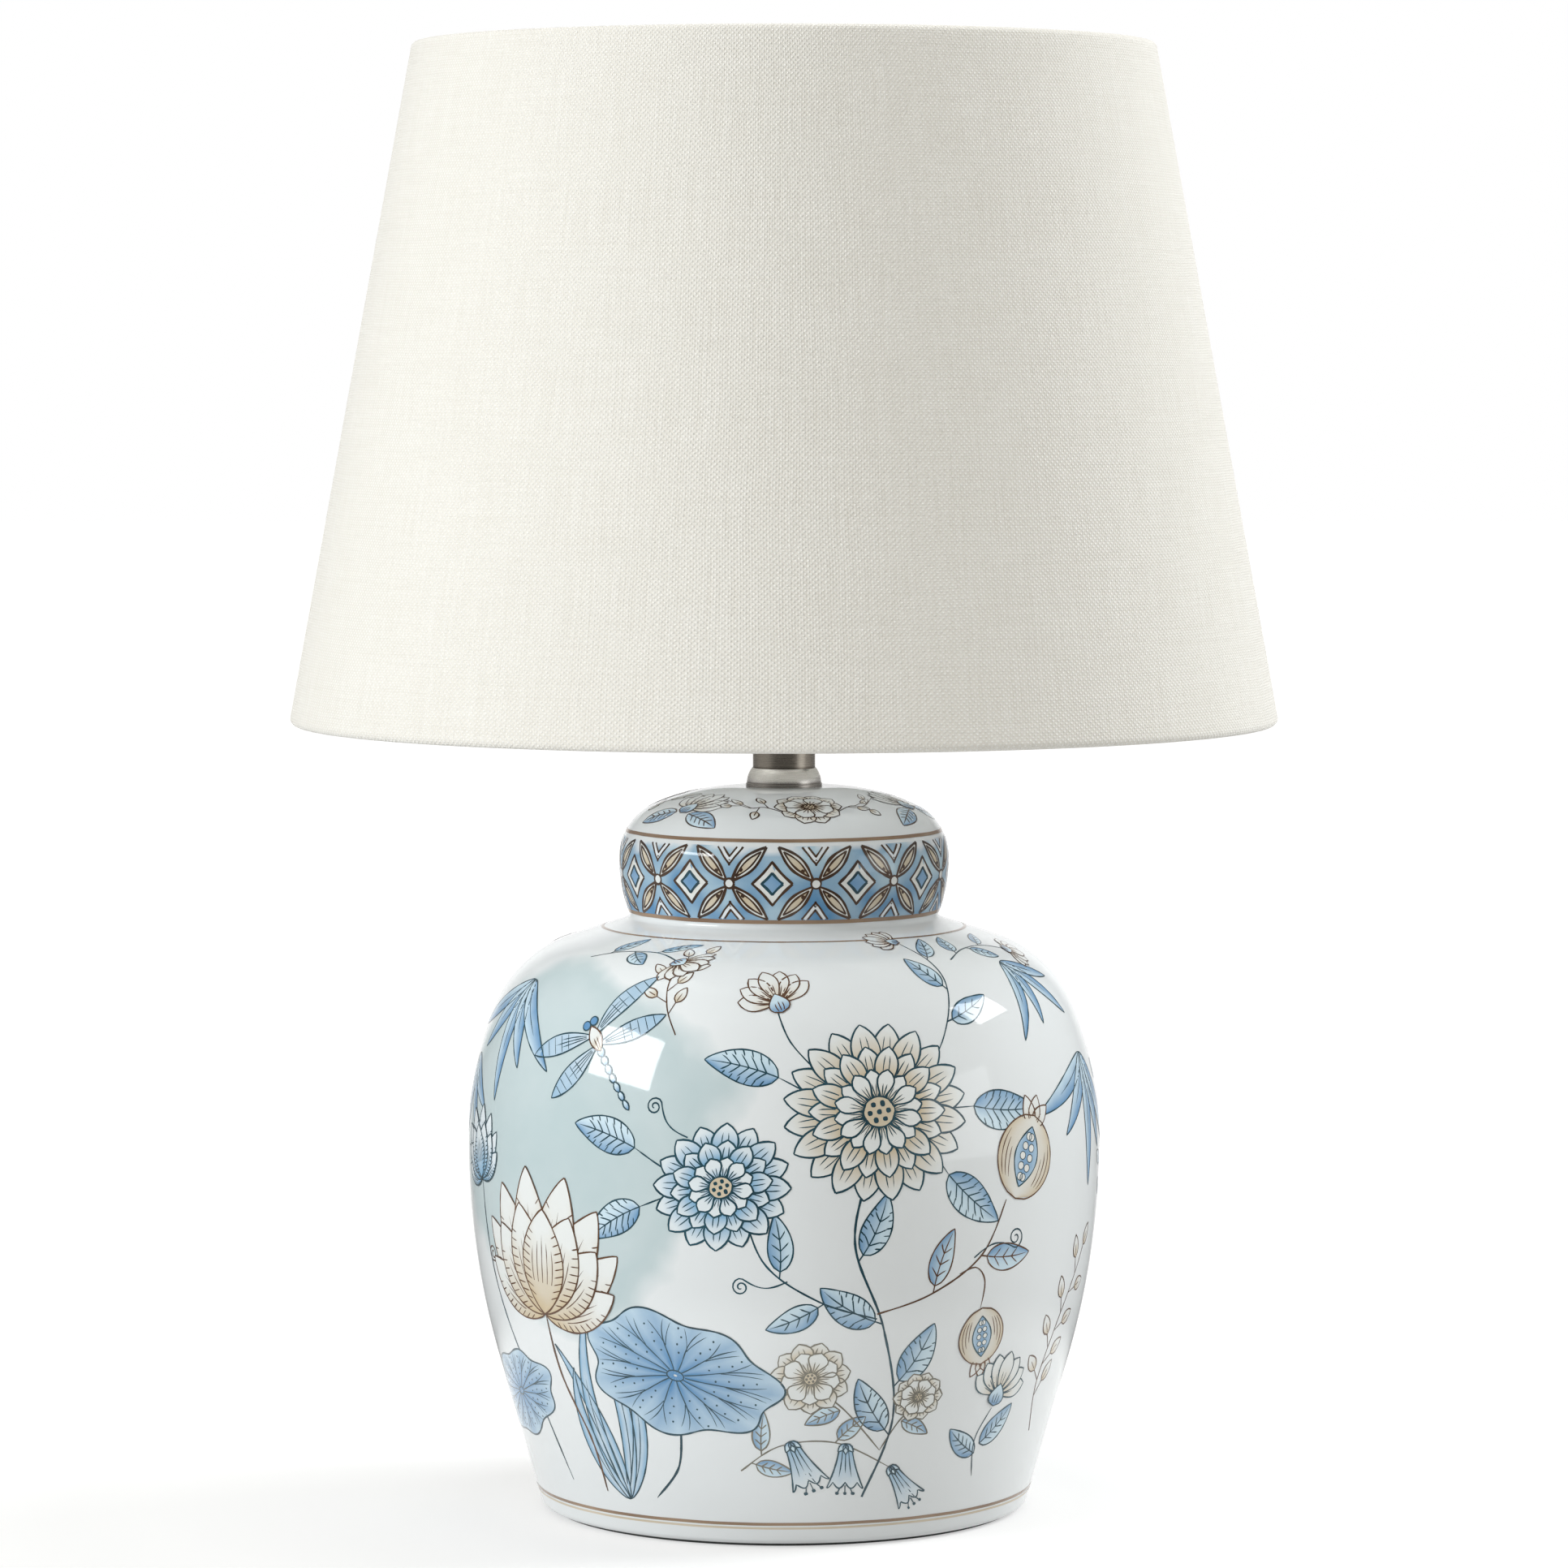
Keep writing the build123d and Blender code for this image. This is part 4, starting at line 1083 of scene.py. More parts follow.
def quatrefoil(spot, reach):
    """Four double petals round a small disc."""
    for angle in (45, 135, 225, 315):
        here = spot.moved(*around(1.6, angle), angle)
        outer = blade(reach, reach * 0.3, 0, 1, 1)
        inner = blade(reach * 0.74, reach * 0.14, 0, 1, 1, reach * 0.12)
        here.fill(outer, 8, 4, SANDS, lambda a, b: 0.12, 1)
        here.fill(inner, 8, 3, SANDS, lambda a, b: 0.55 + 0.4 * (1 - a), 1.6)
        for edge in BOTH:
            here.stroke(side_of(outer, edge), FINE * 1.75, SEPIA, 1.6, (0.9, 0.9), 1.0)
            here.stroke(side_of(inner, edge), FINE * 1.25, SEPIA, 1.9, BLUNT, 1.0)
        here.moved(reach * 0.3, reach * 0.02).dot(0.8, SEPIA, 2.2)
    spot.disc(2.0, SANDS, 0.05, FINE * 1.4, SEPIA, 2.4)


def chevron(spot, side):
    """Three nested lines that point at the middle of a quatrefoil."""
    for apex, width, ink, level in CHEVRONS:
        wide = (CHEVRON_END - apex) * 0.82
        bent = ((-wide, CHEVRON_END), (-0.3, apex), (0.3, apex), (wide, CHEVRON_END))
        spot.stroke(spline(*((x, side * y) for x, y in bent)), width, ink, level, (0.9, 0.9), 0.7)


lid_paint.lay(lid_paint.washes, ROUND_STEPS, BAND_ROWS, band_place, band_tint)
for i in range(REPEATS):
    turn = FIRST_DIAMOND + 360 * i / REPEATS
    here = Spot(lid_paint, turn, BAND_MIDDLE)
    diamond(here, 8.1, 8.7, SANDS, 0.1, SEPIA, 1)
    diamond(here, 4.3, 4.4, BLUES, 0.75, TEAL, 2)
    here = Spot(lid_paint, turn + 180 / REPEATS, BAND_MIDDLE)
    quatrefoil(here, 19.2)
    for side in BOTH:
        chevron(here, side)
for i in range(SPRIGS):
    here = Spot(lid_paint, 360 * i / SPRIGS + 12, SPRIG_LENGTH)
    if i % 2:
        daisy_side(here.moved(0, -3, 76), 17, SANDS, SEPIA, 1)
        leaf(here.moved(-4, -6, 198), 20, 8.5, 15, BLUES, SEPIA)
        leaf(here.moved(4, -7, -14), 20, 8.5, -15, BLUES, SEPIA)
    else:
        chrysanthemum(here.moved(0, 1, 0, 0.92), 14, 10, SANDS, SEPIA, 2, 1)
        for flip in BOTH:
            sprig = spline((0, 0), (flip * 6, 4), (flip * 12, 3), (flip * 18, 8))
            bud_sprig(here.moved(flip * 12, -3), sprig, 5, 6.5, SANDS, SEPIA)
lid_paint.stripe(1.1, 1.7, STRIPE_BROWN)
lid_paint.stripe(34.3, 1.5, STRIPE_BROWN)
lid_paint.dry("lid_paint", Vector((0, 0, LEDGE_Z)))

# %% [markdown]
# ## Brushed nickel neck
#
# A flared seat and a plain tube, both brushed while turning in a lathe, so that the marks run
# round them. A noise that changes with height alone gives those marks. Both are the same nickel,
# but the seat gets a light copy and the tube a dark one: painted reflections of the lit inside of
# the shade above the seat and of the dark room in front of the tube.

# %% Nickel finish
# Dark and light copies of one nickel: a painted dark reflection on the tube, a painted bright one on the
# seat.
NICKEL_PAINTED_DARK_REFLECTION = ((0.28, 0.25, 0.21, 1), (0.46, 0.41, 0.345, 1))
NICKEL_PAINTED_BRIGHT_REFLECTION = ((0.80, 0.76, 0.71, 1), (0.93, 0.89, 0.84, 1))
GROOVE_REACH = 1.1 * MM
GROOVE_COLOUR = (0.11, 0.09, 0.07, 1)
BRUSH_STRETCH = (12, 12, 5200)
BRUSH_DEPTH = 0.02 * MM
SEAT_RIM = 1.3 * MM
rim_z = LID_TOP + SEAT_RIM
seat_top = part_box("neck_seat")[1][2]


def nickel_finish(name, tones, *grooves):
    """Brushed metal between two tones, darkened in a narrow band at each height given."""
    material = new_finish(name, Metallic=1.0)
    place = source(material, "ShaderNodeTexCoord", "Object")
    marks = place.scaled(*BRUSH_STRETCH).noise(1.0, 4.0, 0.7)
    metal = (marks * 0.6 + place.noise(120.0, 2.0) * 0.4).colour(*tones)
    for height in grooves:
        off = (place.axis("Z") - height).maths("ABSOLUTE")
        near = 1 - off.between(0.3 * GROOVE_REACH, GROOVE_REACH)
        metal = (near * (0.5 + 0.4 * marks)).colour(metal, GROOVE_COLOUR)
    feed(material, Base_Color=metal, Roughness=0.18 + marks * 0.18, Normal=bump(marks, BRUSH_DEPTH))
    return material


# The tube and the switch bush get the dark copy and the seat gets the light one. These are painted
# reflections, not two kinds of metal.
nickel_with_painted_dark_reflection = nickel_finish("brushed_nickel", NICKEL_PAINTED_DARK_REFLECTION, seat_top)
nickel_with_painted_bright_reflection = nickel_finish("nickel_painted_bright_reflection", NICKEL_PAINTED_BRIGHT_REFLECTION, rim_z, LID_TOP)
print("nickels", nickel_with_painted_dark_reflection.name, nickel_with_painted_bright_reflection.name)

# %% Neck seat and tube
NECK_SIDES = 128
NECK_TUBE_RADIUS = 12.7 * MM
NECK_TUBE_BORE = NECK_TUBE_RADIUS - 1.2 * MM
SEAT_RADIUS = 15.5 * MM
SEAT_BORE = 12.75 * MM
SEAT_STEP = 0.3 * MM
SEAT_ROUND = 0.25 * MM
ROUND_STEP = 0.08 * MM
SWELL_STEP = 0.3 * MM
holder_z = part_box("neck_tube")[1][2]


def seat_rings():
    """Half outline of the seat: a plain rim, then one swelling curve in to the tube."""
    low = (SEAT_RADIUS - SEAT_STEP, rim_z)
    high = (SEAT_BORE + SEAT_STEP, seat_top)
    turn = 2 * degrees(atan2(low[0] - high[0], high[1] - low[1]))
    swell = (high[1] - low[1]) / sin(radians(turn))
    rim = [(SEAT_BORE, LID_TOP), (SEAT_RADIUS, LID_TOP)]
    rim += corner(SEAT_RADIUS, rim_z, SEAT_ROUND, 0, ROUND_STEP)
    return rim + arc((low[0] - swell, low[1]), swell, 0, turn, SWELL_STEP) + [(SEAT_BORE, seat_top)]


tube_rings = [(NECK_TUBE_RADIUS, z) for z in (LID_TOP, seat_top, holder_z)]
tube_rings += [(NECK_TUBE_BORE, z) for z in (holder_z, LID_TOP)]
flare = lathe(seat_rings(), NECK_SIDES)
pipe = lathe(tube_rings, NECK_SIDES)
add_piece("neck_flare", flare, nickel_with_painted_bright_reflection, "base", "brushed_nickel", "neck_seat")
add_piece("neck_pipe", pipe, nickel_with_painted_dark_reflection, "base", "brushed_nickel", "neck_tube")

# %% [markdown]
# ## Linen shade
#
# The cover is one flat sector of linen, laminated to a stiff lining and rolled into a cone with a
# glued overlap at the back. Its edges are turned over the wire rings. The sheet is a grid bent into
# the cone, with a UV map in metres of cloth, so that the threads keep their size everywhere.

# %% Linen finish
THREAD = 1.02 * MM
LINEN_SHADOW = (0.696, 0.667, 0.608, 1)
LINEN_LIGHT = (0.874, 0.866, 0.84, 1)
WARP_STRETCH = (700, 26, 1)
WEFT_STRETCH = (22, 640, 1)
SLUBS = (1.0, 2.0, 0.6)
WEAVE_DEPTH = 0.5 * MM
WEAVE_STRENGTH = 0.62


def linen_finish():
    """Threads over and under each other, each of uneven thickness."""
    material = new_finish("slub_linen", Roughness=0.9, Sheen_Weight=0.3, Sheen_Roughness=0.5)
    cloth = source(material, "ShaderNodeUVMap", "UV", uv_map="cloth")
    across = cloth.axis("X") / THREAD + cloth.noise(16.0, 3.0) * 3.0
    along = cloth.axis("Y") / THREAD + cloth.scaled(1, 1.4, 1).noise(13.0, 3.0) * 3.0
    crossing = (across * pi).maths("SINE") * (along * pi).maths("SINE")
    woven = crossing.maths("ABSOLUTE") * 0.55 + crossing * 0.5
    warp = cloth.scaled(*WARP_STRETCH).noise(*SLUBS)
    weft = cloth.scaled(*WEFT_STRETCH).noise(*SLUBS)
    threads = woven * 0.9 + warp * 0.6 + weft * 0.4
    # Besides a random drift in tone, the colour follows the threads' height and is darker where they lie
    # low: painted shade between the threads, on top of the bump.
    tint = (threads * 0.55 + cloth.noise(45.0, 3.0) * 0.1).between(0.2, 0.9)
    feed(material, Base_Color=tint.colour(LINEN_SHADOW, LINEN_LIGHT))
    feed(material, Normal=bump(threads, WEAVE_DEPTH, WEAVE_STRENGTH))
    return material


linen = linen_finish()
print("linen", linen.name)

# %% Linen cover
SHADE_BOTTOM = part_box("shade_bottom_hem")[0][2]
SHADE_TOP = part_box("shade_top_hem")[1][2]
SHADE_BOTTOM_RADIUS = 200.5 * MM
SHADE_TOP_RADIUS = 149.8 * MM
HEM_RADIUS = 2.6 * MM
LOW_TUCK = -130
HIGH_TUCK = 180
LAP_ANGLE = radians(3.6)
LAP_LIFT = 0.55 * MM
COVER_COLUMNS = 400
COVER_STEP = 6 * MM
shade_slope = (SHADE_BOTTOM_RADIUS - SHADE_TOP_RADIUS) / (SHADE_TOP - SHADE_BOTTOM)
shade_lean = atan(shade_slope)


def hem(z, start, end):
    """Arc of cloth round the wire whose middle is at a height."""
    radius = SHADE_BOTTOM_RADIUS - (z - SHADE_BOTTOM) * shade_slope - HEM_RADIUS / cos(shade_lean)
    return arc((radius, z), HEM_RADIUS, start, end, SMALL_STEP)


def shade_rings():
    """Half outline of the cover's face, turned in round the wire at each edge."""
    low_edge = hem(SHADE_BOTTOM + HEM_RADIUS, LOW_TUCK, degrees(shade_lean))
    high_edge = hem(SHADE_TOP - HEM_RADIUS, degrees(shade_lean), HIGH_TUCK)
    return low_edge[:-1] + divided(low_edge[-1], high_edge[0], COVER_STEP)[:-1] + high_edge


def rolled_sheet(rings, columns):
    """Grid bent round the axis along an outline. Its ends lap at the back; its UVs are lengths of cloth."""
    bm = bmesh.new()
    bmesh.ops.create_grid(bm, x_segments=columns, y_segments=len(rings) - 1, size=0.5)
    uv = bm.loops.layers.uv.new("cloth")
    walked = [0.0]
    for start, end in zip(rings, rings[1:]):
        walked.append(walked[-1] + dist(start, end))
    middle = rings[len(rings) // 2][0]
    where = {}
    for vert in bm.verts:
        row = round((vert.co.y + 0.5) * (len(rings) - 1))
        share = vert.co.x + 0.5
        turn = (2 * pi + LAP_ANGLE) * share + (pi - LAP_ANGLE) / 2
        left = (2 * pi + LAP_ANGLE) * (1 - share)
        radius, height = rings[row]
        radius += LAP_LIFT * clamped(2 - left / LAP_ANGLE)
        where[vert.index] = (turn * middle, walked[row])
        vert.co = (radius * cos(turn), radius * sin(turn), height)
    for face in bm.faces:
        for loop in face.loops:
            loop[uv].uv = where[loop.vert.index]
    bmesh.ops.recalc_face_normals(bm, faces=bm.faces)
    return bm


hidden = ("shade_cover", "shade_top_hem", "shade_bottom_hem")
cover_mesh = rolled_sheet(shade_rings(), COVER_COLUMNS)
cover = add_piece("linen_cover", cover_mesh, linen, "shade", "linen", *hidden)

# %% [markdown]
# ## Plain finishes
#
# Moulded, turned and drawn parts that are of one stuff throughout: bakelite, steatite, brass, steel,
# rubber, felt, paper and glass. Each is two close colours blended by a noise. The nodes of the frame
# that show as they are take theirs here.

# %% Plain finishes
METAL = {"Metallic": 1.0}
SOFT = {"Sheen_Weight": 0.4}
COATED = {"Coat_Weight": 0.3}
ZINC_NODES = ("threaded_tube", "bottom_washer", "bottom_nut", "lid_washer", "lid_nut", "switch_spindle")
BRASS_NODES = ("screw_shell", "terminal_screws", "centre_contact")
WIRE_NODES = ("shade_top_ring", "shade_bottom_ring", "fitter_arms")
STUFFS = (
    ("black_bakelite", (10, 9, 8), (18, 16, 15), 90, (0.2, 0.34), 0.02, {}, ("holder_cap", "switch_knob")),
    ("steatite", (620, 600, 550), (720, 700, 660), 200, (0.5, 0.7), 0.02, {}, ("contact_block",)),
    ("brass", (620, 430, 190), (760, 570, 290), 160, (0.25, 0.42), 0.01, METAL, BRASS_NODES),
    ("zinc_steel", (460, 460, 450), (600, 600, 590), 220, (0.3, 0.5), 0.01, METAL, ZINC_NODES),
    ("bulb_metal", (600, 590, 570), (740, 730, 710), 140, (0.2, 0.34), 0.01, METAL, ("bulb_contact",)),
    ("black_rubber", (18, 18, 18), (30, 30, 30), 300, (0.65, 0.85), 0.03, {}, ("bottom_rubber_washer",)),
    ("milky_plastic", (700, 720, 720), (780, 790, 790), 120, (0.2, 0.35), 0.02, {}, ("cord_bush",)),
    ("felt", (30, 34, 33), (60, 66, 63), 900, (0.9, 1.0), 0.25, SOFT, ("base_felt",)),
    ("white_lining", (800, 800, 780), (860, 860, 845), 40, (0.5, 0.62), 0.04, {}, ("shade_liner",)),
    ("white_wire", (740, 740, 730), (820, 820, 810), 400, (0.3, 0.42), 0.05, {}, WIRE_NODES),
    ("opal_glass", (840, 840, 820), (900, 900, 885), 30, (0.12, 0.2), 0.0, COATED, ()),
    ("black_glass", (6, 6, 8), (12, 12, 15), 80, (0.05, 0.12), 0.0, {}, ("bulb_insulator",)),
)


def dress(finish, *names):
    """Give nodes of the frame a finish of their own."""
    for name in names:
        nodes[name].data.materials.clear()
        nodes[name].data.materials.append(finish)


def thousandths(colour):
    return tuple(part / 1000 for part in colour) + (1.0,)


stuff = {}
for name, low, high, scale, (gloss, dull), ripple, constants, names in STUFFS:
    stuff[name] = new_finish(name, **constants)
    grain = source(stuff[name], "ShaderNodeTexCoord", "Object").noise(scale, 3.0)
    feed(stuff[name], Base_Color=grain.colour(thousandths(low), thousandths(high)))
    feed(stuff[name], Roughness=gloss + grain * (dull - gloss))
    if ripple:
        feed(stuff[name], Normal=bump(grain, ripple * MM))
    dress(stuff[name], *names)
dress(nickel_with_painted_dark_reflection, "switch_bush")
bakelite = stuff["black_bakelite"]
print("plain finishes", list(stuff))

# %% [markdown]
# ## Threads and lampholder
#
# Screw threads are pressed into turned pieces: every point moves in or out with its height and its
# angle together, which makes a helix instead of a stack of rings.


# %% Threaded skirt of the lampholder
def pull_in(vert, depth):
    """Move a point of a turned piece towards the axis."""
    share = 1 - depth / hypot(vert.co.x, vert.co.y)
    vert.co.x *= share
    vert.co.y *= share


def press_thread(bm, pitch, depth, low, high, inner):
    """Press a helix into the walls outside a radius, fading out at both ends."""
    for vert in bm.verts:
        radius = hypot(vert.co.x, vert.co.y)
        if low < vert.co.z < high and radius > inner:
            fade = min(1, (vert.co.z - low) / pitch, (high - vert.co.z) / pitch)
            wave = 0.5 - 0.5 * cos(2 * pi * vert.co.z / pitch - atan2(vert.co.y, vert.co.x))
            pull_in(vert, depth * wave * fade)


SKIRT_SIDES = 96
SKIRT_RADIUS = 19.2 * MM
SKIRT_SPIGOT = 17.5 * MM
SKIRT_BORE = 15.3 * MM
SKIRT_ROUND = 0.7 * MM
SKIRT_STEP = 0.2 * MM
SKIRT_PITCH = 2.5 * MM
SKIRT_DEPTH = 0.7 * MM
block_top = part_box("contact_block")[1][2]
cap_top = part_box("holder_cap")[1][2]
skirt_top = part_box("holder_skirt")[1][2]
skirt_rings = [(SKIRT_BORE, block_top), (SKIRT_SPIGOT, block_top), (SKIRT_SPIGOT, cap_top)]
skirt_rings += divided((SKIRT_RADIUS, cap_top), (SKIRT_RADIUS, skirt_top - SKIRT_ROUND), SKIRT_PITCH / 10)
skirt_rings += corner(SKIRT_RADIUS, skirt_top, SKIRT_ROUND, 0, SKIRT_STEP)
skirt_rings += corner(SKIRT_BORE, skirt_top, SKIRT_ROUND, 90, SKIRT_STEP)
skirt = lathe(skirt_rings, SKIRT_SIDES)
press_thread(skirt, SKIRT_PITCH, SKIRT_DEPTH, cap_top + MM, skirt_top - MM, SKIRT_SPIGOT + MM)
add_piece("threaded_skirt", skirt, bakelite, "base", "black_bakelite", "holder_skirt")

# %% Shade rings
RING_SIDES = 360
RING_BODY = 23.5 * MM
RING_FLANGE = 27.0 * MM
RING_FLANGE_HEIGHT = 2.2 * MM
RING_ROUND = 0.45 * MM
RING_BORE = 19.25 * MM
FINE_STEP = 0.12 * MM
GRIPS = 20
GRIP_RADIUS = 1.3 * MM


def grip_ring(flange_z, body_z):
    """Ring with a thin flange, scalloped all round for the fingers."""
    up = 1 if body_z > flange_z else -1
    tall = abs(body_z - flange_z)
    outline = [(RING_BORE, 0), (RING_FLANGE - RING_ROUND, 0)]
    outline += corner(RING_FLANGE, 0, RING_ROUND, -90, FINE_STEP)
    outline += corner(RING_FLANGE, RING_FLANGE_HEIGHT, RING_ROUND, 0, FINE_STEP)
    outline += [(RING_BODY, RING_FLANGE_HEIGHT)]
    outline += corner(RING_BODY, tall, RING_ROUND, 0, FINE_STEP)
    outline += [(RING_BORE, tall)]
    bm = lathe([(radius, flange_z + up * height) for radius, height in outline], RING_SIDES)
    for vert in bm.verts:
        radius = hypot(vert.co.x, vert.co.y)
        turn = (degrees(atan2(vert.co.y, vert.co.x)) * GRIPS / 360 + 0.5) % 1 - 0.5
        off = RING_FLANGE * radians(turn * 360 / GRIPS)
        if radius > RING_BODY + RING_ROUND and abs(off) < GRIP_RADIUS:
            pull_in(vert, sqrt(GRIP_RADIUS**2 - off**2))
    bmesh.ops.recalc_face_normals(bm, faces=bm.faces)
    return bm


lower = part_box("lower_shade_ring")
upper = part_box("upper_shade_ring")
lower_ring = grip_ring(lower[1][2], lower[0][2])
upper_ring = grip_ring(upper[0][2], upper[1][2])
add_piece("lower_grip_ring", lower_ring, bakelite, "base", "black_bakelite", "lower_shade_ring")
add_piece("upper_grip_ring", upper_ring, bakelite, "ring", "black_bakelite", "upper_shade_ring")

# %% Fitter of the shade
FITTER_SIDES = 128
FITTER_RADIUS = 30.0 * MM
FITTER_BORE = 20.0 * MM
FITTER_ROUND = 0.4 * MM
fitter_low, fitter_high = (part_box("fitter_ring")[i][2] for i in (0, 1))
fitter_rings = []
for radius, height, start in (
    (FITTER_RADIUS, fitter_low, -90),
    (FITTER_RADIUS, fitter_high, 0),
    (FITTER_BORE, fitter_high, 90),
    (FITTER_BORE, fitter_low, 180),
):
    fitter_rings += corner(radius, height, FITTER_ROUND, start, FINE_STEP)
fitter = lathe(fitter_rings, FITTER_SIDES)
add_piece("fitter_washer", fitter, stuff["white_wire"], "shade", "white_wire", "fitter_ring")

# %% [markdown]
# ## The lamp
#
# An opal pear bulb: a ball and a straight flare of blown glass, cemented into a rolled metal cap
# whose thread is pressed from sheet, so the same helix shows inside and out.

# %% Bulb
BULB_SIDES = 96
BULB_RADIUS = 30.0 * MM
BULB_NECK = 12.5 * MM
BULB_GLASS = 0.8 * MM
BULB_STEP = 2 * MM
BULB_CAP = 13.2 * MM
BULB_CAP_WALL = 0.4 * MM
BULB_CAP_TAPER = 2.6 * MM
BULB_CAP_HOLE = 6.5 * MM
CAP_PITCH = 3.63 * MM
CAP_DEPTH = 0.85 * MM
PLAIN_BELOW = 1.5 * MM
PLAIN_ABOVE = 4.4 * MM
glass_low, glass_high = (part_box("bulb_glass")[i][2] for i in (0, 1))
cap_low, cap_high = (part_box("bulb_cap")[i][2] for i in (0, 1))
ball = (0.0, glass_high - BULB_RADIUS)
flare_height = ball[1] - cap_high
flare_lean = asin(BULB_RADIUS / hypot(BULB_NECK, flare_height)) - atan2(BULB_NECK, flare_height)


def glass_rings(inset):
    """Half outline of the glass from its open end up to the pole."""
    neck = BULB_NECK - inset
    flare = polar(ball, BULB_RADIUS - inset, -degrees(flare_lean))
    rings = divided((neck, glass_low), (neck, cap_high), BULB_STEP)[:-1]
    rings += divided((neck, cap_high), flare)[:-1]
    return rings + arc(ball, BULB_RADIUS - inset, -degrees(flare_lean), 90, BULB_STEP)


def cap_rings(inset):
    """Half outline of the cap from its hole, round the taper and up the side."""
    side = BULB_CAP - inset
    bottom = cap_low + inset
    rings = [(BULB_CAP_HOLE, bottom), (side - BULB_CAP_TAPER, bottom), (side, bottom + BULB_CAP_TAPER)]
    return rings + divided(rings[-1], (side, cap_high), CAP_PITCH / 12)[1:]


bulb = lathe(glass_rings(0) + glass_rings(BULB_GLASS)[::-1], BULB_SIDES)
add_piece("opal_bulb", bulb, stuff["opal_glass"], "bulb", "opal_glass", "bulb_glass")
cap = lathe(cap_rings(0) + cap_rings(BULB_CAP_WALL)[::-1], BULB_SIDES)
threaded = (cap_low + PLAIN_BELOW, cap_high - PLAIN_ABOVE, BULB_CAP - BULB_CAP_TAPER)
press_thread(cap, CAP_PITCH, CAP_DEPTH, *threaded)
add_piece("screw_cap", cap, stuff["bulb_metal"], "bulb", "bulb_metal", "bulb_cap")

# %% [markdown]
# ## Stage, camera and light
#
# A white sweep, a long lens at the height of the shade, softboxes at both sides, one overhead, and
# cards that fill in from below. Glaze and nickel mirror what stands round them, so for their
# reflections the white room turns grey at its sides and dark in front: that gives the jar its edges.

# %% Stage
AMBIENT = (0.466, 0.445, 0.402, 1)
BOUNCE = grey(0.6)
PAPER = grey(0.5)
FAR_PAPER = grey(0.86)
BLACK = grey(0.0)
DARK_ROOM = 0.12
SIDE_ROOM = 0.5
BACK_ROOM = 0.3
ROOM_STOPS = (
    (0.08, DARK_ROOM),
    (0.24, SIDE_ROOM),
    (0.6, SIDE_ROOM),
    (0.8, BACK_ROOM),
    (0.95, BACK_ROOM),
    (0.985, 1.0),
)
NEAR_TO_FAR = (0.3, 1.3)
TABLE_EDGE = 0.27
FLOOR_SIZE = 30
FLOOR_Z = -0.2 * MM


def seen_directly(owner, kinds=("Camera", "Glossy", "Transmission")):
    """One where a camera, a mirror or a glass looks at the stage, zero for light that falls on things."""
    seen = 0.0
    for kind in kinds:
        seen = seen + source(owner, "ShaderNodeLightPath", "Is " + kind + " Ray")
    return seen.between(0, 1)


def room_tone(towards):
    """What a mirror sees: white paper right behind the lamp, grey walls, and the dark room in front."""
    return (towards * 0.5 + 0.5).ramp(*ROOM_STOPS)


def stage_finish():
    """White paper. Near the lamp half of its white is light that falls on it, so it keeps the shadow."""
    material = new_finish("paper_sweep", Roughness=1.0, Emission_Strength=1.0, Specular_IOR_Level=0.0)
    place = source(material, "ShaderNodeTexCoord", "Object")
    distance = place.node("ShaderNodeVectorMath", {"operation": "LENGTH"}, {0: place}, "Value")
    white = distance.between(*NEAR_TO_FAR).colour(PAPER, FAR_PAPER)
    mirrored = distance.between(TABLE_EDGE, 1.3 * TABLE_EDGE) * seen_directly(material, ["Glossy"])
    walls = room_tone(place.axis("Y") / distance)
    seen = seen_directly(material)
    feed(material, Base_Color=seen.colour(BOUNCE, mirrored.colour(PAPER, BLACK)))
    feed(material, Emission_Color=seen.colour(BLACK, mirrored.colour(white, walls)))
    return material


bpy.ops.mesh.primitive_plane_add(size=FLOOR_SIZE, location=(0, 0, FLOOR_Z))
floor = bpy.context.object
floor.name = "studio_floor"
floor.data.materials.append(stage_finish())

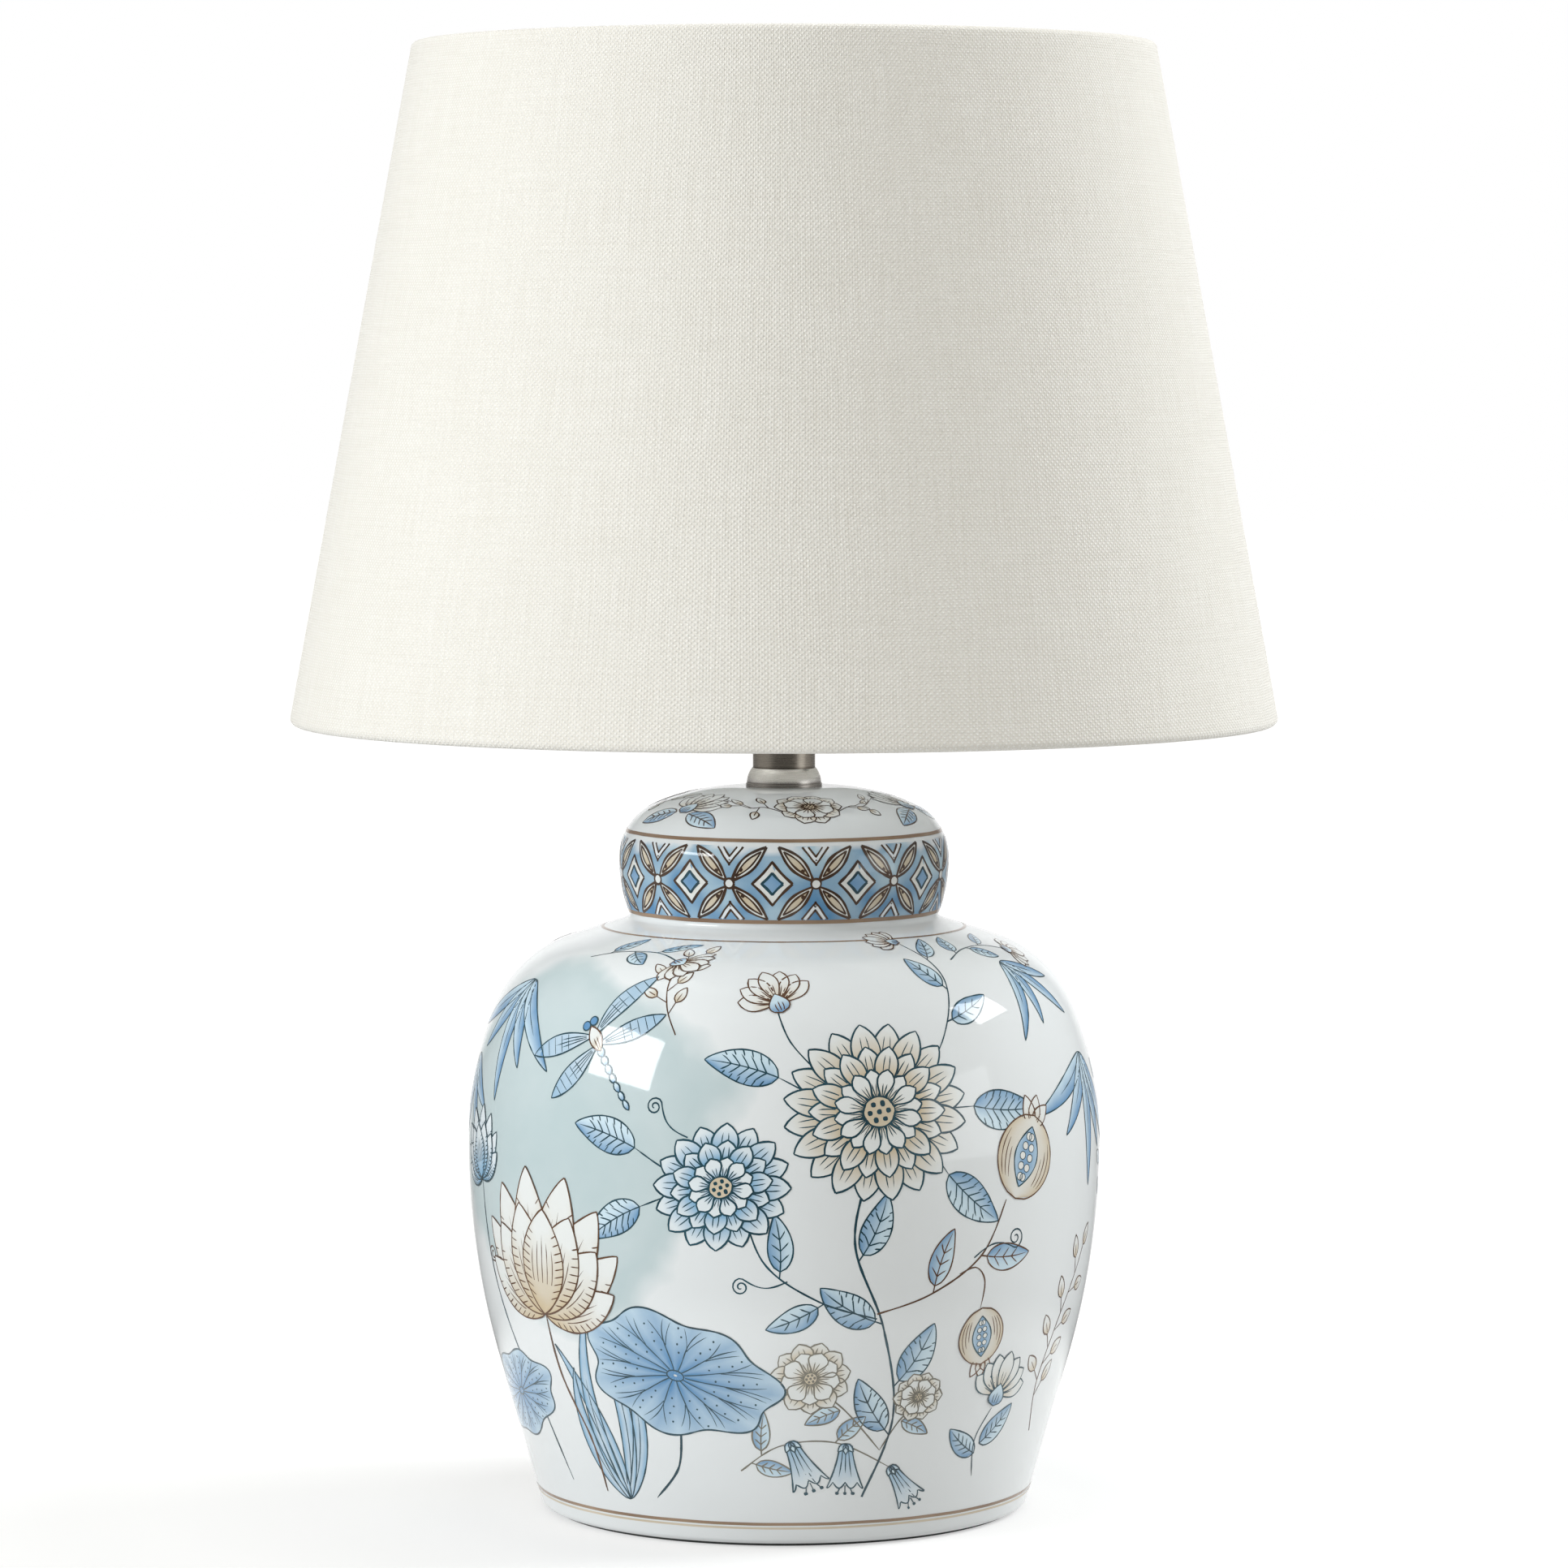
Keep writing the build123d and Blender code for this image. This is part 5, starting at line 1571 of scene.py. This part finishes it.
world = bpy.data.worlds.new("studio")
bpy.context.scene.world = world
world.use_nodes = True
walls = room_tone(source(world, "ShaderNodeTexCoord", "Generated").axis("Y"))
room = seen_directly(world, ["Glossy"]).colour(grey(1.0), walls)
backdrop = seen_directly(world).colour(AMBIENT, room)
plug(world.node_tree, world.node_tree.nodes["Background"].inputs["Color"], backdrop)
print("stage", floor.name, world.name)

# %% Lights and camera
DAYLIGHT = (0.947, 0.980, 1.0)
AIM = Vector((0, 0, 0.3))
LIGHTS = (
    ("left_box", (-2.45, -1.14, 1.4), 1.4, 0.78, 32, ()),
    ("right_box", (2.55, 0.45, 2.3), 1.1, 1.3, 32, ()),
    ("left_wall", (-2.93, -1.76, 1.1), 2.2, 1.2, 34, ("visible_glossy",)),
    ("right_wall", (2.5, 0.8, 1.65), 1.6, 1.2, 49, ("visible_glossy",)),
    ("right_card", (2.2, -0.9, 0.4), 1.2, 1.1, 4.6, ("visible_diffuse",)),
    ("front_card", (-1.3, -2.2, 0.3), 1.2, 0.6, 7, ("visible_glossy",)),
    ("top_box", (0, -0.1, 2.4), 0.8, 0.8, 13, ("visible_glossy",)),
)
LENS = 141.5
SENSOR = 36
CAMERA_PLACE = (0, -2.5, 0.4682)
CAMERA_TILT = 3.97
for name, place, width, height, power, unseen in LIGHTS:
    light = bpy.data.lights.new(name, "AREA")
    light.shape = "RECTANGLE"
    light.size = width
    light.size_y = height
    light.energy = power
    light.color = DAYLIGHT
    lamp = bpy.data.objects.new(name, light)
    lamp.location = place
    lamp.rotation_euler = (AIM - Vector(place)).to_track_quat("-Z", "Y").to_euler()
    for ray in unseen:
        setattr(lamp, ray, False)
    bpy.context.scene.collection.objects.link(lamp)

camera_data = bpy.data.cameras.new("camera")
camera_data.lens = LENS
camera_data.sensor_width = SENSOR
camera = bpy.data.objects.new("camera", camera_data)
camera.location = CAMERA_PLACE
camera.rotation_euler = (radians(90 - CAMERA_TILT), 0, 0)
bpy.context.scene.collection.objects.link(camera)
bpy.context.scene.camera = camera
bpy.context.scene.view_settings.view_transform = "Standard"
print("lights", len(LIGHTS))
